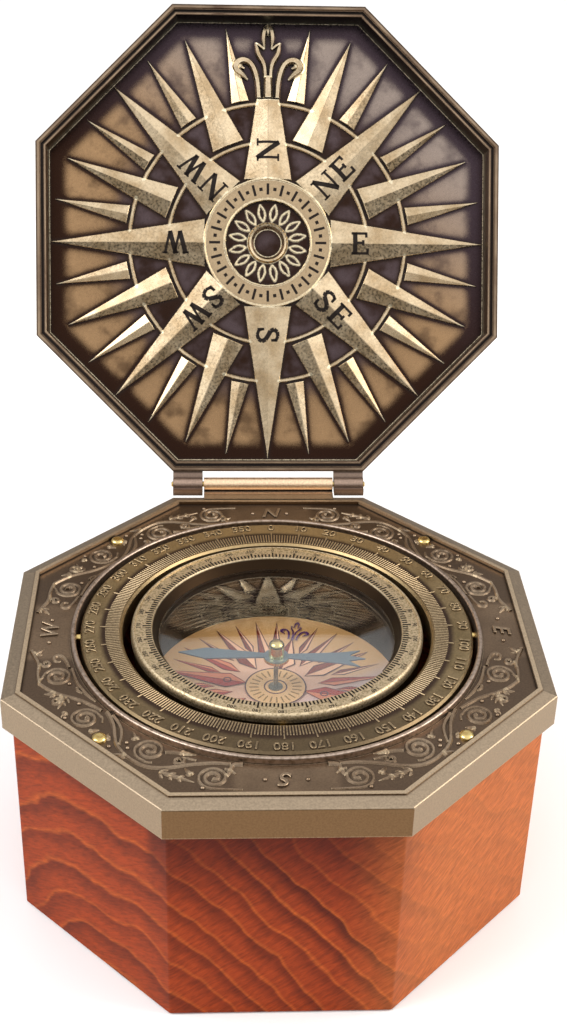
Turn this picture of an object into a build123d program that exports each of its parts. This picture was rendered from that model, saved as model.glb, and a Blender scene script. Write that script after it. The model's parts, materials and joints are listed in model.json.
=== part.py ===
from build123d import *
import math
import os

os.makedirs("parts", exist_ok=True)

# Compass box: an octagonal wooden block with a brass deck, a gimballed compass and a hinged brass lid.
# The origin is the centre of the underside, +Y points to the hinge, and the lid stands open.

# Overall sizes
across_flats = 100.0  # deck and lid, flat to flat
deck_top = 50.8  # plane of the deck's frame line above the table

# Felt pad under the block
felt_thickness = 1.2
felt_proud = 0.4
felt_inset = 4.0

# Deck cap
skirt_height = 7.1
skirt_wall = 1.6
deck_thickness = 2.4
field_recess = 0.8
frame_inset = 2.6
frame_width = 0.8
frame_height = 0.3
margin_drop = 0.9
deck_edge_radius = 0.35

# Clearances
fit_gap = 0.1  # between pieces that are slipped together and stay still
press_gap = 0.02  # round a pin that is driven into its hole
running_gap = 0.05  # round a pin that turns in its hole
body_gap = 0.3  # between faces that move past each other or rest over each other

# Wooden block
wood_corner_radius = 0.8
well_floor = 17.0
well_shoulder = 1.4

# Domed pins that hold the deck
pin_frame_gap = 0.2  # between a pin's head and the frame line
pin_head_radius = 1.4
pin_head_height = 0.75
pin_shank_radius = 0.8
pin_length = 12.0

# Liner of the well
well_radius = 38.0
liner_wall = 0.9
liner_depth = 12.0
liner_lip = 0.5
liner_lip_radius = 0.35

# Gimbal ring and its pivots
ring_gap = 0.9
ring_width = 7.8
ring_thickness = 5.0
ring_chamfer = 0.4
pivot_depth = 2.3
pivot_radius = 0.8
outer_pivot_engagement = 3.2
inner_pivot_grip = 3.0
inner_pivot_engagement = 1.4
pivot_end_gap = 0.3

# Bezel and glass
bezel_gap = 1.6
bezel_width = 3.9
bezel_rise = 0.5
bezel_lip_rise = 0.3
bezel_lip_width = 0.8
bezel_seat_depth = 0.9
bevel_width = 1.3
glass_depth = 1.6
glass_thickness = 1.5
glass_dome_height = 2.9  # from the glass's flat rim to its top
gasket_thickness = 0.3
gasket_width = 1.5

# Bowl
bowl_overhang = 0.5
bowl_wall = 1.6
bowl_band_height = 5.1
bowl_band_step = 0.6
bowl_round_start = 16.0
bowl_depth = 28.0
bowl_flat_radius = 13.0
bowl_floor = 1.8
ledge_width = 1.6
ledge_height = 1.1
sleeve_wall = 0.6

# Card, plate and weight
card_depth = 14.8
card_thickness = 0.3
plate_thickness = 0.8
weight_radius = 11.5
weight_height = 6.0
weight_chamfer = 1.0

# Needle, its cap, jewel and post
needle_depth = 7.2
needle_thickness = 0.25
needle_heading = 176.0  # degrees from +X, the way the spear points
spear_length = 18.7
spear_shoulder = 13.5
spear_half_width = 1.7
tail_length = 17.0
tail_fork = 12.2
tail_half_width = 1.7
waist_half_width = 0.7
cap_flange_radius = 2.45
cap_flange_height = 0.55
cap_body_radius = 1.5
cap_height = 4.1
cap_dome_height = 1.1
cap_flat_radius = 0.2
cap_bore_radius = 0.95
cap_roof = 0.7
jewel_height = 0.9
jewel_cup_radius = 0.6
jewel_cup_depth = 0.5
post_radius = 0.45
post_cone = 1.3
post_tip_radius = 0.05
post_flange_radius = 1.4
post_flange_height = 0.4
post_rivet = 0.7

# Lid
lid_depth = 8.0
lid_floor = 1.2
lid_rim_width = 2.2
lid_outer_chamfer = 1.2
rim_line_width = 0.5
rim_groove_width = 0.6
rim_groove_depth = 0.5

# Rose panel inside the lid
panel_thickness = 0.7
ray_margin = 0.5  # between the rays' tips and the lid's rim
ray_root = 0.3  # how far a ray starts inside the ring at its foot
boss_radius = 14.1
boss_recess_radius = 9.2
boss_height = 1.45
boss_line_radius = 4.2
boss_line_width = 0.5
main_ray_count = 8
main_ray_half_width = 5.2
main_ray_side = 0.75
main_ray_height = 1.9
second_ring_radius = 22.3
second_ray_count = 8
second_ray_half_width = 3.55
second_ray_side = 0.65
second_ray_height = 1.6
third_ring_radius = 30.8
third_ray_count = 16
third_ray_half_width = 1.96
third_ray_side = 0.55
third_ray_height = 1.25
ring_line_width = 0.8
ring_line_height = 0.6
north_ray_cut = 31.2
lily_margin = 0.4
lily_height = 1.4

# Hinge
hinge_setback = 2.8
hinge_rise = 0.8
knuckle_radius = 1.45
barrel_length = 28.0
knuckle_length = 6.4
hinge_pin_radius = 0.6
hinge_pin_proud = 0.4
tongue_thickness = 1.6
open_angle = 118.0

# Places worked out from the sizes above
half_flats = across_flats / 2
wood_apothem = half_flats - skirt_wall - fit_gap
deck_underside = deck_top - deck_thickness
field_top = deck_top - field_recess
frame_outer = half_flats - frame_inset
frame_inner = frame_outer - frame_width
liner_outer = well_radius + liner_wall
liner_bottom = deck_top - liner_depth
pivot_z = deck_top - pivot_depth
ring_outer = well_radius - ring_gap
ring_inner = ring_outer - ring_width
bezel_outer = ring_inner - bezel_gap
bezel_inner = bezel_outer - bezel_width
bezel_aperture = bezel_inner - bevel_width
bowl_outer = bezel_outer - bowl_overhang
bowl_top = deck_top - bezel_seat_depth
bowl_lower_outer = bowl_outer - bowl_band_step
bowl_bore_radius = bowl_lower_outer - bowl_wall
insert_radius = bowl_bore_radius - fit_gap
ledge_radius = bowl_bore_radius - ledge_width
glass_top = deck_top - glass_depth
glass_bottom = glass_top - glass_thickness
glass_dome_foot = bezel_aperture - fit_gap
glass_dome_radius = (glass_dome_foot ** 2 + glass_dome_height ** 2) / (2 * glass_dome_height)
glass_dome_centre = glass_top + glass_dome_height - glass_dome_radius
sleeve_top = glass_bottom - gasket_thickness
sleeve_inner = insert_radius - sleeve_wall
card_top = deck_top - card_depth
plate_top = card_top - card_thickness
plate_bottom = plate_top - plate_thickness
bowl_bottom = deck_top - bowl_depth
weight_bottom = bowl_bottom + bowl_floor
needle_top = deck_top - needle_depth
needle_bottom = needle_top - needle_thickness
cap_bottom = needle_bottom - cap_flange_height
cap_top = cap_bottom + cap_height
jewel_top = cap_top - cap_roof
jewel_bottom = jewel_top - jewel_height
post_tip = jewel_bottom + jewel_cup_depth - body_gap
pin_circle_radius = frame_inner - pin_head_radius - pin_frame_gap
hinge_y = half_flats + hinge_setback
hinge_z = deck_top + hinge_rise
pin_spots = [(pin_circle_radius * math.cos(math.radians(a)), pin_circle_radius * math.sin(math.radians(a)))
             for a in (45, 135, 225, 315)]

# The lid's own plane: local +Y runs from the hinge to the free edge, local +Z out of its inner face.
# Its origin is the middle of the rim's face, which lies one body gap above the deck when the lid is shut.
lean = math.radians(open_angle)
lid_up = Vector(0, -math.cos(lean), math.sin(lean))
lid_out = Vector(0, -math.sin(lean), -math.cos(lean))
hinge_to_rim = hinge_rise - body_gap
lid_centre = Vector(0, hinge_y, hinge_z) + lid_up * hinge_y + lid_out * hinge_to_rim
lid_plane = Plane(origin=lid_centre, x_dir=(1, 0, 0), z_dir=lid_out)
hinge_plane = Plane(origin=(0, hinge_y, hinge_z), x_dir=(0, 1, 0), z_dir=(1, 0, 0))

lid_inner_apothem = half_flats - lid_rim_width
ray_reach = lid_inner_apothem - ray_margin
lily_tip = lid_inner_apothem - lily_margin
panel_seat = -(lid_depth - lid_floor)
panel_face = panel_seat + panel_thickness
knuckle_start = barrel_length / 2 + body_gap
knuckle_middle = knuckle_start + knuckle_length / 2


# A regular octagon with flats square to X and Y, given by the distance from its centre to a flat
def octagon(apothem, mode=Mode.ADD):
    return RegularPolygon(radius=apothem, side_count=8, major_radius=False, rotation=22.5, mode=mode)


# A flat ring, given by its two radii
def washer(outer, inner):
    Circle(outer)
    Circle(inner, mode=Mode.SUBTRACT)


# Felt pad, let into the underside of the block
with BuildPart() as base_felt:
    with BuildSketch():
        octagon(wood_apothem - felt_inset)
    extrude(amount=felt_thickness)

# Wooden block with the felt's pocket, a stepped well and the pin holes
with BuildPart() as wooden_case:
    with BuildSketch(Plane.XY.offset(felt_proud)):
        octagon(wood_apothem)
    extrude(amount=deck_underside - felt_proud)
    fillet(wooden_case.edges().filter_by(Axis.Z), radius=wood_corner_radius)
    with BuildSketch(Plane.XY.offset(felt_proud)):
        octagon(wood_apothem - felt_inset + fit_gap)
    extrude(amount=felt_thickness - felt_proud, mode=Mode.SUBTRACT)
    with BuildSketch(Plane.XY.offset(well_floor)):
        Circle(liner_outer - well_shoulder)
    extrude(amount=deck_underside - well_floor, mode=Mode.SUBTRACT)
    with BuildSketch(Plane.XY.offset(liner_bottom)):
        Circle(liner_outer + fit_gap)
    extrude(amount=deck_underside - liner_bottom, mode=Mode.SUBTRACT)
    with BuildSketch(Plane.XY.offset(deck_underside)):
        with Locations(*pin_spots):
            Circle(pin_shank_radius + press_gap)
    extrude(amount=-pin_length, mode=Mode.SUBTRACT)

# Deck cap: a skirt round the block, a sloped margin, a frame line, a sunk field and the hinge barrel
with BuildPart() as deck_plate:
    with BuildSketch(Plane.XY.offset(deck_top - skirt_height)):
        octagon(half_flats)
    extrude(amount=skirt_height - margin_drop)
    with BuildSketch(Plane.XY.offset(deck_top - margin_drop)):
        octagon(half_flats)
    with BuildSketch(Plane.XY.offset(deck_top - frame_height)):
        octagon(frame_outer)
    loft()
    fillet(
        deck_plate.edges().filter_by_position(Axis.Z, deck_top - margin_drop - 0.01, deck_top - margin_drop + 0.01),
        radius=deck_edge_radius,
    )
    with BuildSketch(Plane.XY.offset(deck_top - frame_height)):
        octagon(frame_outer)
    extrude(amount=frame_height)
    with BuildSketch(Plane.XY.offset(field_top)):
        octagon(frame_inner)
    extrude(amount=field_recess, mode=Mode.SUBTRACT)
    with BuildSketch(Plane.XY.offset(deck_top - skirt_height)):
        octagon(wood_apothem + fit_gap)
    extrude(amount=skirt_height - deck_thickness, mode=Mode.SUBTRACT)
    with BuildSketch(Plane.XY.offset(deck_underside)):
        Circle(liner_outer + fit_gap)
        with Locations(*pin_spots):
            Circle(pin_shank_radius + press_gap)
    extrude(amount=deck_thickness, mode=Mode.SUBTRACT)
    with BuildSketch(Plane.XY.offset(deck_top - tongue_thickness)):
        with Locations((0, half_flats + hinge_setback / 2 - skirt_wall / 2)):
            Rectangle(barrel_length, hinge_setback + skirt_wall)
    extrude(amount=tongue_thickness - body_gap)
    with BuildSketch(hinge_plane.offset(-barrel_length / 2)):
        Circle(knuckle_radius)
    extrude(amount=barrel_length)
    with BuildSketch(hinge_plane.offset(-barrel_length / 2)):
        Circle(hinge_pin_radius + press_gap)
    extrude(amount=barrel_length, mode=Mode.SUBTRACT)

# Four domed pins through the deck into the wood
with BuildPart() as deck_pins:
    with BuildSketch(Plane.XY.offset(field_top)):
        with Locations(*pin_spots):
            Circle(pin_shank_radius)
    extrude(amount=-pin_length)
    with BuildSketch(Plane.XY.offset(field_top)):
        with Locations(*pin_spots):
            Circle(pin_head_radius)
    extrude(amount=pin_head_height)
    fillet(
        deck_pins.edges().filter_by(GeomType.CIRCLE).group_by(Axis.Z)[-1],
        radius=pin_head_height * 0.95,
    )

# Liner of the well, with its raised bead and the holes of the outer pivots
with BuildPart() as well_liner:
    with BuildSketch(Plane.XY.offset(liner_bottom)):
        washer(liner_outer, well_radius)
    extrude(amount=liner_depth + liner_lip)
    fillet(well_liner.edges().filter_by(GeomType.CIRCLE).group_by(Axis.Z)[-1], radius=liner_lip_radius)
    with BuildSketch(Plane(origin=(-liner_outer, 0, pivot_z), z_dir=(1, 0, 0))):
        Circle(pivot_radius + press_gap)
    extrude(amount=2 * liner_outer, mode=Mode.SUBTRACT)

# The two outer pivots, left and right
outer_pivot_inner_end = ring_outer - outer_pivot_engagement
with BuildPart() as outer_pivots:
    for side in (-1, 1):
        with BuildSketch(Plane(origin=(side * outer_pivot_inner_end, 0, pivot_z), z_dir=(side, 0, 0))):
            Circle(pivot_radius)
        extrude(amount=liner_outer - outer_pivot_inner_end)

# Gimbal ring, bored for the outer pivots at the sides and the inner pivots at front and back
with BuildPart() as gimbal_ring:
    with BuildSketch(Plane.XY.offset(pivot_z - ring_thickness / 2)):
        washer(ring_outer, ring_inner)
    extrude(amount=ring_thickness)
    chamfer(gimbal_ring.edges().filter_by(GeomType.CIRCLE), length=ring_chamfer)
    for side in (-1, 1):
        with BuildSketch(Plane(origin=(side * (outer_pivot_inner_end - pivot_end_gap), 0, pivot_z),
                               z_dir=(side, 0, 0))):
            Circle(pivot_radius + running_gap)
        extrude(amount=outer_pivot_engagement + pivot_end_gap, mode=Mode.SUBTRACT)
        with BuildSketch(Plane(origin=(0, side * ring_inner, pivot_z), z_dir=(0, side, 0))):
            Circle(pivot_radius + press_gap)
        extrude(amount=inner_pivot_grip, mode=Mode.SUBTRACT)
        with BuildSketch(Plane(origin=(0, side * (ring_inner - bezel_gap), pivot_z), z_dir=(0, side, 0))):
            Circle(pivot_radius + press_gap)
        extrude(amount=bezel_gap + ring_chamfer, mode=Mode.SUBTRACT)

# The two inner pivots, front and back, held in the ring
inner_pivot_inner_end = bowl_outer - inner_pivot_engagement
with BuildPart() as inner_pivots:
    for side in (-1, 1):
        with BuildSketch(Plane(origin=(0, side * inner_pivot_inner_end, pivot_z), z_dir=(0, side, 0))):
            Circle(pivot_radius)
        extrude(amount=ring_inner + inner_pivot_grip - inner_pivot_inner_end)

# Compass bowl, turned from the solid: band, wall, round bottom, ledge for the card plate
with BuildPart() as compass_bowl:
    with BuildSketch(Plane.XZ):
        with BuildLine():
            outer_round = EllipticalCenterArc(
                (bowl_flat_radius, deck_top - bowl_round_start),
                bowl_lower_outer - bowl_flat_radius,
                bowl_depth - bowl_round_start,
                start_angle=270,
                arc_size=90,
            )
            Polyline(
                outer_round @ 1,
                (bowl_lower_outer, bowl_top - bowl_band_height - bowl_band_step),
                (bowl_outer, bowl_top - bowl_band_height),
                (bowl_outer, bowl_top),
                (bowl_bore_radius, bowl_top),
                (bowl_bore_radius, plate_bottom),
                (ledge_radius, plate_bottom),
                (ledge_radius, plate_bottom - ledge_height),
            )
            inner_round = EllipticalCenterArc(
                (weight_radius + body_gap, plate_bottom - ledge_height),
                ledge_radius - weight_radius - body_gap,
                plate_bottom - ledge_height - weight_bottom,
                start_angle=270,
                arc_size=90,
            )
            Polyline(inner_round @ 0, (0, weight_bottom), (0, bowl_bottom), outer_round @ 0)
        make_face()
    revolve(axis=Axis.Z)
    for side in (-1, 1):
        with BuildSketch(Plane(origin=(0, side * (inner_pivot_inner_end - pivot_end_gap), pivot_z),
                               z_dir=(0, side, 0))):
            Circle(pivot_radius + running_gap)
        extrude(amount=inner_pivot_engagement + pivot_end_gap, mode=Mode.SUBTRACT)

# Weight in the bottom of the bowl
with BuildPart() as bowl_weight:
    with BuildSketch(Plane.XY.offset(weight_bottom)):
        Circle(weight_radius)
    extrude(amount=weight_height)
    chamfer(bowl_weight.edges().group_by(Axis.Z)[-1], length=weight_chamfer)

# Plate under the card, on the bowl's ledge
with BuildPart() as card_plate:
    with BuildSketch(Plane.XY.offset(plate_bottom)):
        washer(insert_radius, post_radius + press_gap)
    extrude(amount=plate_thickness)

# Paper card
with BuildPart() as compass_card:
    with BuildSketch(Plane.XY.offset(plate_top)):
        washer(sleeve_inner - fit_gap, post_radius + press_gap)
    extrude(amount=card_thickness)

# Sleeve that holds the card down and the glass up
with BuildPart() as inner_sleeve:
    with BuildSketch(Plane.XY.offset(plate_top)):
        washer(insert_radius, sleeve_inner)
    extrude(amount=sleeve_top - plate_top)

# Gasket under the glass
with BuildPart() as glass_gasket:
    with BuildSketch(Plane.XY.offset(sleeve_top)):
        washer(insert_radius, insert_radius - gasket_width)
    extrude(amount=gasket_thickness)

# Domed glass with a flat rim, which the bezel holds down on the gasket
with BuildPart() as crystal:
    with BuildSketch(Plane.XZ):
        with BuildLine():
            outer_start = math.degrees(math.acos(glass_dome_foot / glass_dome_radius))
            outer_dome = CenterArc((0, glass_dome_centre), glass_dome_radius, outer_start, 90 - outer_start)
            hollow_radius = glass_dome_radius - glass_thickness
            inner_start = math.degrees(math.asin((glass_bottom - glass_dome_centre) / hollow_radius))
            inner_dome = CenterArc((0, glass_dome_centre), hollow_radius, inner_start, 90 - inner_start)
            Polyline(
                outer_dome @ 0,
                (insert_radius, glass_top),
                (insert_radius, glass_bottom),
                inner_dome @ 0,
            )
            Line(inner_dome @ 1, outer_dome @ 1)
        make_face()
    revolve(axis=Axis.Z)

# Bezel ring: bevel down to the glass, flat graduated band, rounded lip, plain side
with BuildPart() as bezel_ring:
    with BuildSketch(Plane.XZ):
        with BuildLine():
            band_top = deck_top + bezel_rise
            lip_inner = bezel_outer - bezel_lip_width
            lip = ThreePointArc(
                (lip_inner, band_top),
                (bezel_outer - bezel_lip_width / 2, band_top + bezel_lip_rise),
                (bezel_outer, band_top - bezel_lip_rise / 2),
            )
            Polyline(
                lip @ 1,
                (bezel_outer, bowl_top),
                (insert_radius, bowl_top),
                (insert_radius, glass_top),
                (bezel_aperture, glass_top),
                (bezel_inner, band_top),
                lip @ 0,
            )
        make_face()
    revolve(axis=Axis.Z)

# Pivot post, riveted through card and plate
with BuildPart() as pivot_post:
    with BuildSketch(Plane.XZ):
        with BuildLine():
            Polyline(
                (0, plate_bottom - post_rivet),
                (post_radius, plate_bottom - post_rivet),
                (post_radius, card_top),
                (post_flange_radius, card_top),
                (post_flange_radius, card_top + post_flange_height),
                (post_radius, card_top + post_flange_height),
                (post_radius, post_tip - post_cone),
                (post_tip_radius, post_tip),
                (0, post_tip),
                close=True,
            )
        make_face()
    revolve(axis=Axis.Z)

# Needle cap: flange, body and dome, bored for the jewel
with BuildPart() as needle_cap:
    with BuildSketch(Plane.XZ):
        with BuildLine():
            dome = EllipticalCenterArc(
                (cap_flat_radius, cap_top - cap_dome_height),
                cap_body_radius - cap_flat_radius,
                cap_dome_height,
                start_angle=0,
                arc_size=90,
            )
            Polyline(
                dome @ 1,
                (0, cap_top),
                (0, jewel_top),
                (cap_bore_radius, jewel_top),
                (cap_bore_radius, cap_bottom),
                (cap_flange_radius, cap_bottom),
                (cap_flange_radius, needle_bottom),
                (cap_body_radius, needle_bottom),
                dome @ 0,
            )
        make_face()
    revolve(axis=Axis.Z)

# Jewel with its cup, inside the cap
with BuildPart() as needle_jewel:
    with BuildSketch(Plane.XZ):
        with BuildLine():
            Polyline(
                (0, jewel_top),
                (cap_bore_radius - press_gap, jewel_top),
                (cap_bore_radius - press_gap, jewel_bottom),
                (jewel_cup_radius, jewel_bottom),
                (0, jewel_bottom + jewel_cup_depth),
                close=True,
            )
        make_face()
    revolve(axis=Axis.Z)

# Needle: a spear one way, a three-pointed tail the other, and a hub on the cap's flange
needle_plane = Plane(
    origin=(0, 0, needle_bottom),
    x_dir=(math.cos(math.radians(needle_heading)), math.sin(math.radians(needle_heading)), 0),
    z_dir=(0, 0, 1),
)
with BuildPart() as needle:
    with BuildSketch(needle_plane):
        with BuildLine():
            Polyline(
                (spear_length, 0),
                (spear_shoulder, spear_half_width),
                (cap_flange_radius, waist_half_width),
                (-cap_flange_radius, waist_half_width),
                (-tail_fork, tail_half_width),
                (-tail_length * 0.94, tail_half_width * 1.5),
                (-tail_fork - 1.6, tail_half_width * 0.5),
                (-tail_length, 0),
                (-tail_fork - 1.6, -tail_half_width * 0.5),
                (-tail_length * 0.94, -tail_half_width * 1.5),
                (-tail_fork, -tail_half_width),
                (-cap_flange_radius, -waist_half_width),
                (cap_flange_radius, -waist_half_width),
                (spear_shoulder, -spear_half_width),
                close=True,
            )
        make_face()
        Circle(cap_flange_radius - fit_gap)
        Circle(cap_body_radius + press_gap, mode=Mode.SUBTRACT)
    extrude(amount=needle_thickness)

# Lid cover: outer shell, rim with groove and line, knuckles with their tongues and stop heels
with BuildPart() as lid_cover:
    with BuildSketch(lid_plane.offset(-lid_depth)):
        octagon(half_flats)
    extrude(amount=lid_depth)
    chamfer(lid_cover.edges().group_by(Axis((0, 0, 0), lid_out))[0], length=lid_outer_chamfer)
    with BuildSketch(lid_plane.offset(panel_seat)):
        octagon(lid_inner_apothem)
    extrude(amount=-panel_seat, mode=Mode.SUBTRACT)
    with BuildSketch(lid_plane.offset(-rim_groove_depth)):
        octagon(lid_inner_apothem + rim_line_width + rim_groove_width)
        octagon(lid_inner_apothem + rim_line_width, mode=Mode.SUBTRACT)
    extrude(amount=rim_groove_depth, mode=Mode.SUBTRACT)
    for side in (-1, 1):
        with BuildSketch(lid_plane.offset(-hinge_to_rim - knuckle_radius)):
            with Locations((side * knuckle_middle, -half_flats - hinge_setback / 2)):
                Rectangle(knuckle_length, hinge_setback)
        extrude(amount=tongue_thickness)
        with BuildSketch(hinge_plane.offset(side * knuckle_middle - knuckle_length / 2)):
            Circle(knuckle_radius)
            with Locations((-(hinge_setback - body_gap) / 2, -knuckle_radius / 2)):
                Rectangle(hinge_setback - body_gap, knuckle_radius)
        extrude(amount=knuckle_length)
        with BuildSketch(hinge_plane.offset(side * knuckle_middle - knuckle_length / 2)):
            Circle(hinge_pin_radius + running_gap)
        extrude(amount=knuckle_length, mode=Mode.SUBTRACT)

# Hinge pin, fixed in the deck's barrel
pin_half_length = knuckle_start + knuckle_length + hinge_pin_proud
with BuildPart() as hinge_pin:
    with BuildSketch(hinge_plane.offset(-pin_half_length)):
        Circle(hinge_pin_radius)
    extrude(amount=2 * pin_half_length)
    chamfer(hinge_pin.edges().filter_by(GeomType.CIRCLE), length=hinge_pin_radius / 3)


# Rose panel: plate, 32 rays in three ranks, two thin rings, boss, and a lily above the north ray.
# A rank is the number of its rays, the heading of its first one, then their start, half width, the height
# of their sides and the height of their ridge at its inner end, from which it falls to the tip.
ray_ranks = [
    (third_ray_count, 180 / third_ray_count, third_ring_radius - ray_root, third_ray_half_width,
     third_ray_side, third_ray_height),
    (second_ray_count, 180 / second_ray_count, second_ring_radius - ray_root, second_ray_half_width,
     second_ray_side, second_ray_height),
    (main_ray_count, 0, boss_radius - ray_root, main_ray_half_width, main_ray_side, main_ray_height),
]
with BuildPart() as lid_rose_panel:
    with BuildSketch(lid_plane.offset(panel_seat)):
        octagon(lid_inner_apothem - fit_gap)
    extrude(amount=panel_thickness)
    for count, first, inner, half_width, side_height, ridge_height in ray_ranks:
        for i in range(count):
            turn = Rotation(0, 0, first + 360 / count * i)
            foot_plane = Plane(lid_plane.offset(panel_face).location * turn)
            roof_plane = Plane(lid_plane.offset(panel_face + side_height).location * turn)
            corners = [(-half_width, inner), (half_width, inner), (0, ray_reach)]
            with BuildSketch(foot_plane):
                with BuildLine():
                    Polyline(*corners, close=True)
                make_face()
            extrude(amount=side_height)
            with BuildSketch(roof_plane, mode=Mode.PRIVATE) as eaves:
                with BuildLine():
                    Polyline(*corners, close=True)
                make_face()
            peak = foot_plane.from_local_coords(Vector(0, inner, ridge_height))
            loft(sections=[eaves.sketch.face(), Vertex(peak.X, peak.Y, peak.Z)])
    with BuildSketch(lid_plane.offset(panel_face)):
        washer(third_ring_radius, third_ring_radius - ring_line_width)
        washer(second_ring_radius, second_ring_radius - ring_line_width)
    extrude(amount=ring_line_height)
    with BuildSketch(lid_plane.offset(panel_face)):
        washer(boss_radius, boss_recess_radius)
        washer(boss_line_radius, boss_line_radius - boss_line_width)
    extrude(amount=boss_height)
    with BuildSketch(lid_plane.offset(panel_face)):
        with Locations((0, (north_ray_cut + ray_reach) / 2)):
            Rectangle(main_ray_half_width, ray_reach - north_ray_cut)
    extrude(amount=main_ray_height, mode=Mode.SUBTRACT)
    with BuildSketch(lid_plane.offset(panel_face)):
        with BuildLine():
            lily_middle = (north_ray_cut + lily_tip) / 2
            Polyline(
                (-1.6, north_ray_cut),
                (1.6, north_ray_cut),
                (1.2, lily_middle - 2.5),
                (2.4, lily_middle + 1.5),
                (0, lily_tip),
                (-2.4, lily_middle + 1.5),
                (-1.2, lily_middle - 2.5),
                close=True,
            )
        make_face()
        for side in (-1, 1):
            with Locations(Location((side * 3.4, lily_middle - 0.6), side * 20)):
                Ellipse(2.2, 1.1)
    extrude(amount=lily_height)

pieces = {
    "base_felt": base_felt,
    "wooden_case": wooden_case,
    "deck_plate": deck_plate,
    "deck_pins": deck_pins,
    "well_liner": well_liner,
    "outer_pivots": outer_pivots,
    "hinge_pin": hinge_pin,
    "gimbal_ring": gimbal_ring,
    "inner_pivots": inner_pivots,
    "compass_bowl": compass_bowl,
    "bowl_weight": bowl_weight,
    "card_plate": card_plate,
    "compass_card": compass_card,
    "inner_sleeve": inner_sleeve,
    "glass_gasket": glass_gasket,
    "crystal": crystal,
    "bezel_ring": bezel_ring,
    "pivot_post": pivot_post,
    "needle": needle,
    "needle_cap": needle_cap,
    "needle_jewel": needle_jewel,
    "lid_cover": lid_cover,
    "lid_rose_panel": lid_rose_panel,
}

for name, piece in pieces.items():
    piece.part.label = name
    export_step(piece.part, f"parts/{name}.step")
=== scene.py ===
"""The looks of the compass box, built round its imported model.

The model gives every mechanical piece in its place. This script gives those pieces their finishes
and adds what is too fine for it: the deck's scrollwork and letters, the degree numbers and ticks,
the print on the card and the lid's letters and beads. Lengths are in millimetres until a piece is
placed, which turns them to metres.
"""

import json
import logging
import math
from collections.abc import Iterable, Sequence
from dataclasses import dataclass, field, replace
from enum import Enum

import bmesh
import bpy
from mathutils import Matrix, Vector
from mathutils.bvhtree import BVHTree


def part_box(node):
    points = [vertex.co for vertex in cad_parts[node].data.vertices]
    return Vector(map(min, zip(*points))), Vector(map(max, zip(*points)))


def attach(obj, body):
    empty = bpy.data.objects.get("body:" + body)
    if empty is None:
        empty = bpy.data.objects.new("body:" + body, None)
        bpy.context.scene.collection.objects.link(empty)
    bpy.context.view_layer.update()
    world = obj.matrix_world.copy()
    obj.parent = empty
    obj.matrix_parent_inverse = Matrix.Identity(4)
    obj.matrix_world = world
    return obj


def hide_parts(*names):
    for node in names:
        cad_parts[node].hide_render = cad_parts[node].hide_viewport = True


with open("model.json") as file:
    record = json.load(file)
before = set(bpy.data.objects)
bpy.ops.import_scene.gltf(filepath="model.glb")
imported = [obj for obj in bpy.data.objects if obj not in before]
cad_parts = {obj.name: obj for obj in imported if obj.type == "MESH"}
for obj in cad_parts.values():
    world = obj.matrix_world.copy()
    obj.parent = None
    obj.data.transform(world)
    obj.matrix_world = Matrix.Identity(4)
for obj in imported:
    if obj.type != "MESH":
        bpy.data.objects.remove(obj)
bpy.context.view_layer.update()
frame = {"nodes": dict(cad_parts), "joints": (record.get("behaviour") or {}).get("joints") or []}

LOG = logging.getLogger("compass_box")
MM = 0.001
MIX_FACTOR, MIX_A, MIX_B, MIX_RESULT = 0, 6, 7, 2  # a colour Mix node's sockets
NOISE_SPAN = (0.3, 0.7)  # most of a noise texture's values lie between these
PHOTO_SIZE = (567, 1024)

Pair = tuple[float, float]
Triple = tuple[float, float, float]
Socket = bpy.types.NodeSocket
Tree = bpy.types.NodeTree
Shape = bmesh.types.BMesh


class Body(Enum):
    """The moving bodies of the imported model."""

    CASE = "case"
    GIMBAL = "gimbal"
    BOWL = "bowl"
    NEEDLE = "needle"
    LID = "lid"


def linear(code: str) -> tuple[float, float, float, float]:
    """Turn an sRGB hex colour to linear light.

    Args:
        code: The colour as #RRGGBB.

    Returns:
        Linear red, green and blue, and an alpha of 1.
    """
    channels = [int(code[i:i + 2], 16) / 255 for i in (1, 3, 5)]
    return (*(c / 12.92 if c <= 0.04045 else ((c + 0.055) / 1.055) ** 2.4 for c in channels), 1.0)


def add_node(
    tree: Tree,
    kind: str,
    inputs: dict[str | int, object] | None = None,
    links: dict[str | int, Socket] | None = None,
    **settings: object,
) -> bpy.types.Node:
    """Add a node to a material's tree.

    Args:
        tree: The tree that the node goes in.
        kind: The node's type name.
        inputs: Values for its sockets, by name or number.
        links: Sockets of other nodes that feed its sockets.
        settings: Values for the node's own properties.

    Returns:
        The new node.
    """
    node = tree.nodes.new(kind)
    for name, value in settings.items():
        setattr(node, name, value)
    for name, value in (inputs or {}).items():
        node.inputs[name].default_value = value
    for name, socket in (links or {}).items():
        tree.links.new(socket, node.inputs[name])
    return node


def per_metre(size: float) -> float:
    """Return the texture scale whose pattern repeats about once in size millimetres."""
    return 1 / (size * MM)


def ranged(start: float, end: float, low: float = 0.0, high: float = 1.0) -> dict[str | int, object]:
    """Return the inputs that turn values from start to end into values from low to high."""
    return {"From Min": start, "From Max": end, "To Min": low, "To Max": high}


def axis_distance(tree: Tree, x: Socket, y: Socket) -> Socket:
    """Return the distance from the upright axis, worked out from the two level coordinates."""
    flat = add_node(tree, "ShaderNodeCombineXYZ", links={0: x, 1: y}).outputs[0]
    return add_node(tree, "ShaderNodeVectorMath", links={0: flat}, operation="LENGTH").outputs["Value"]


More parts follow.
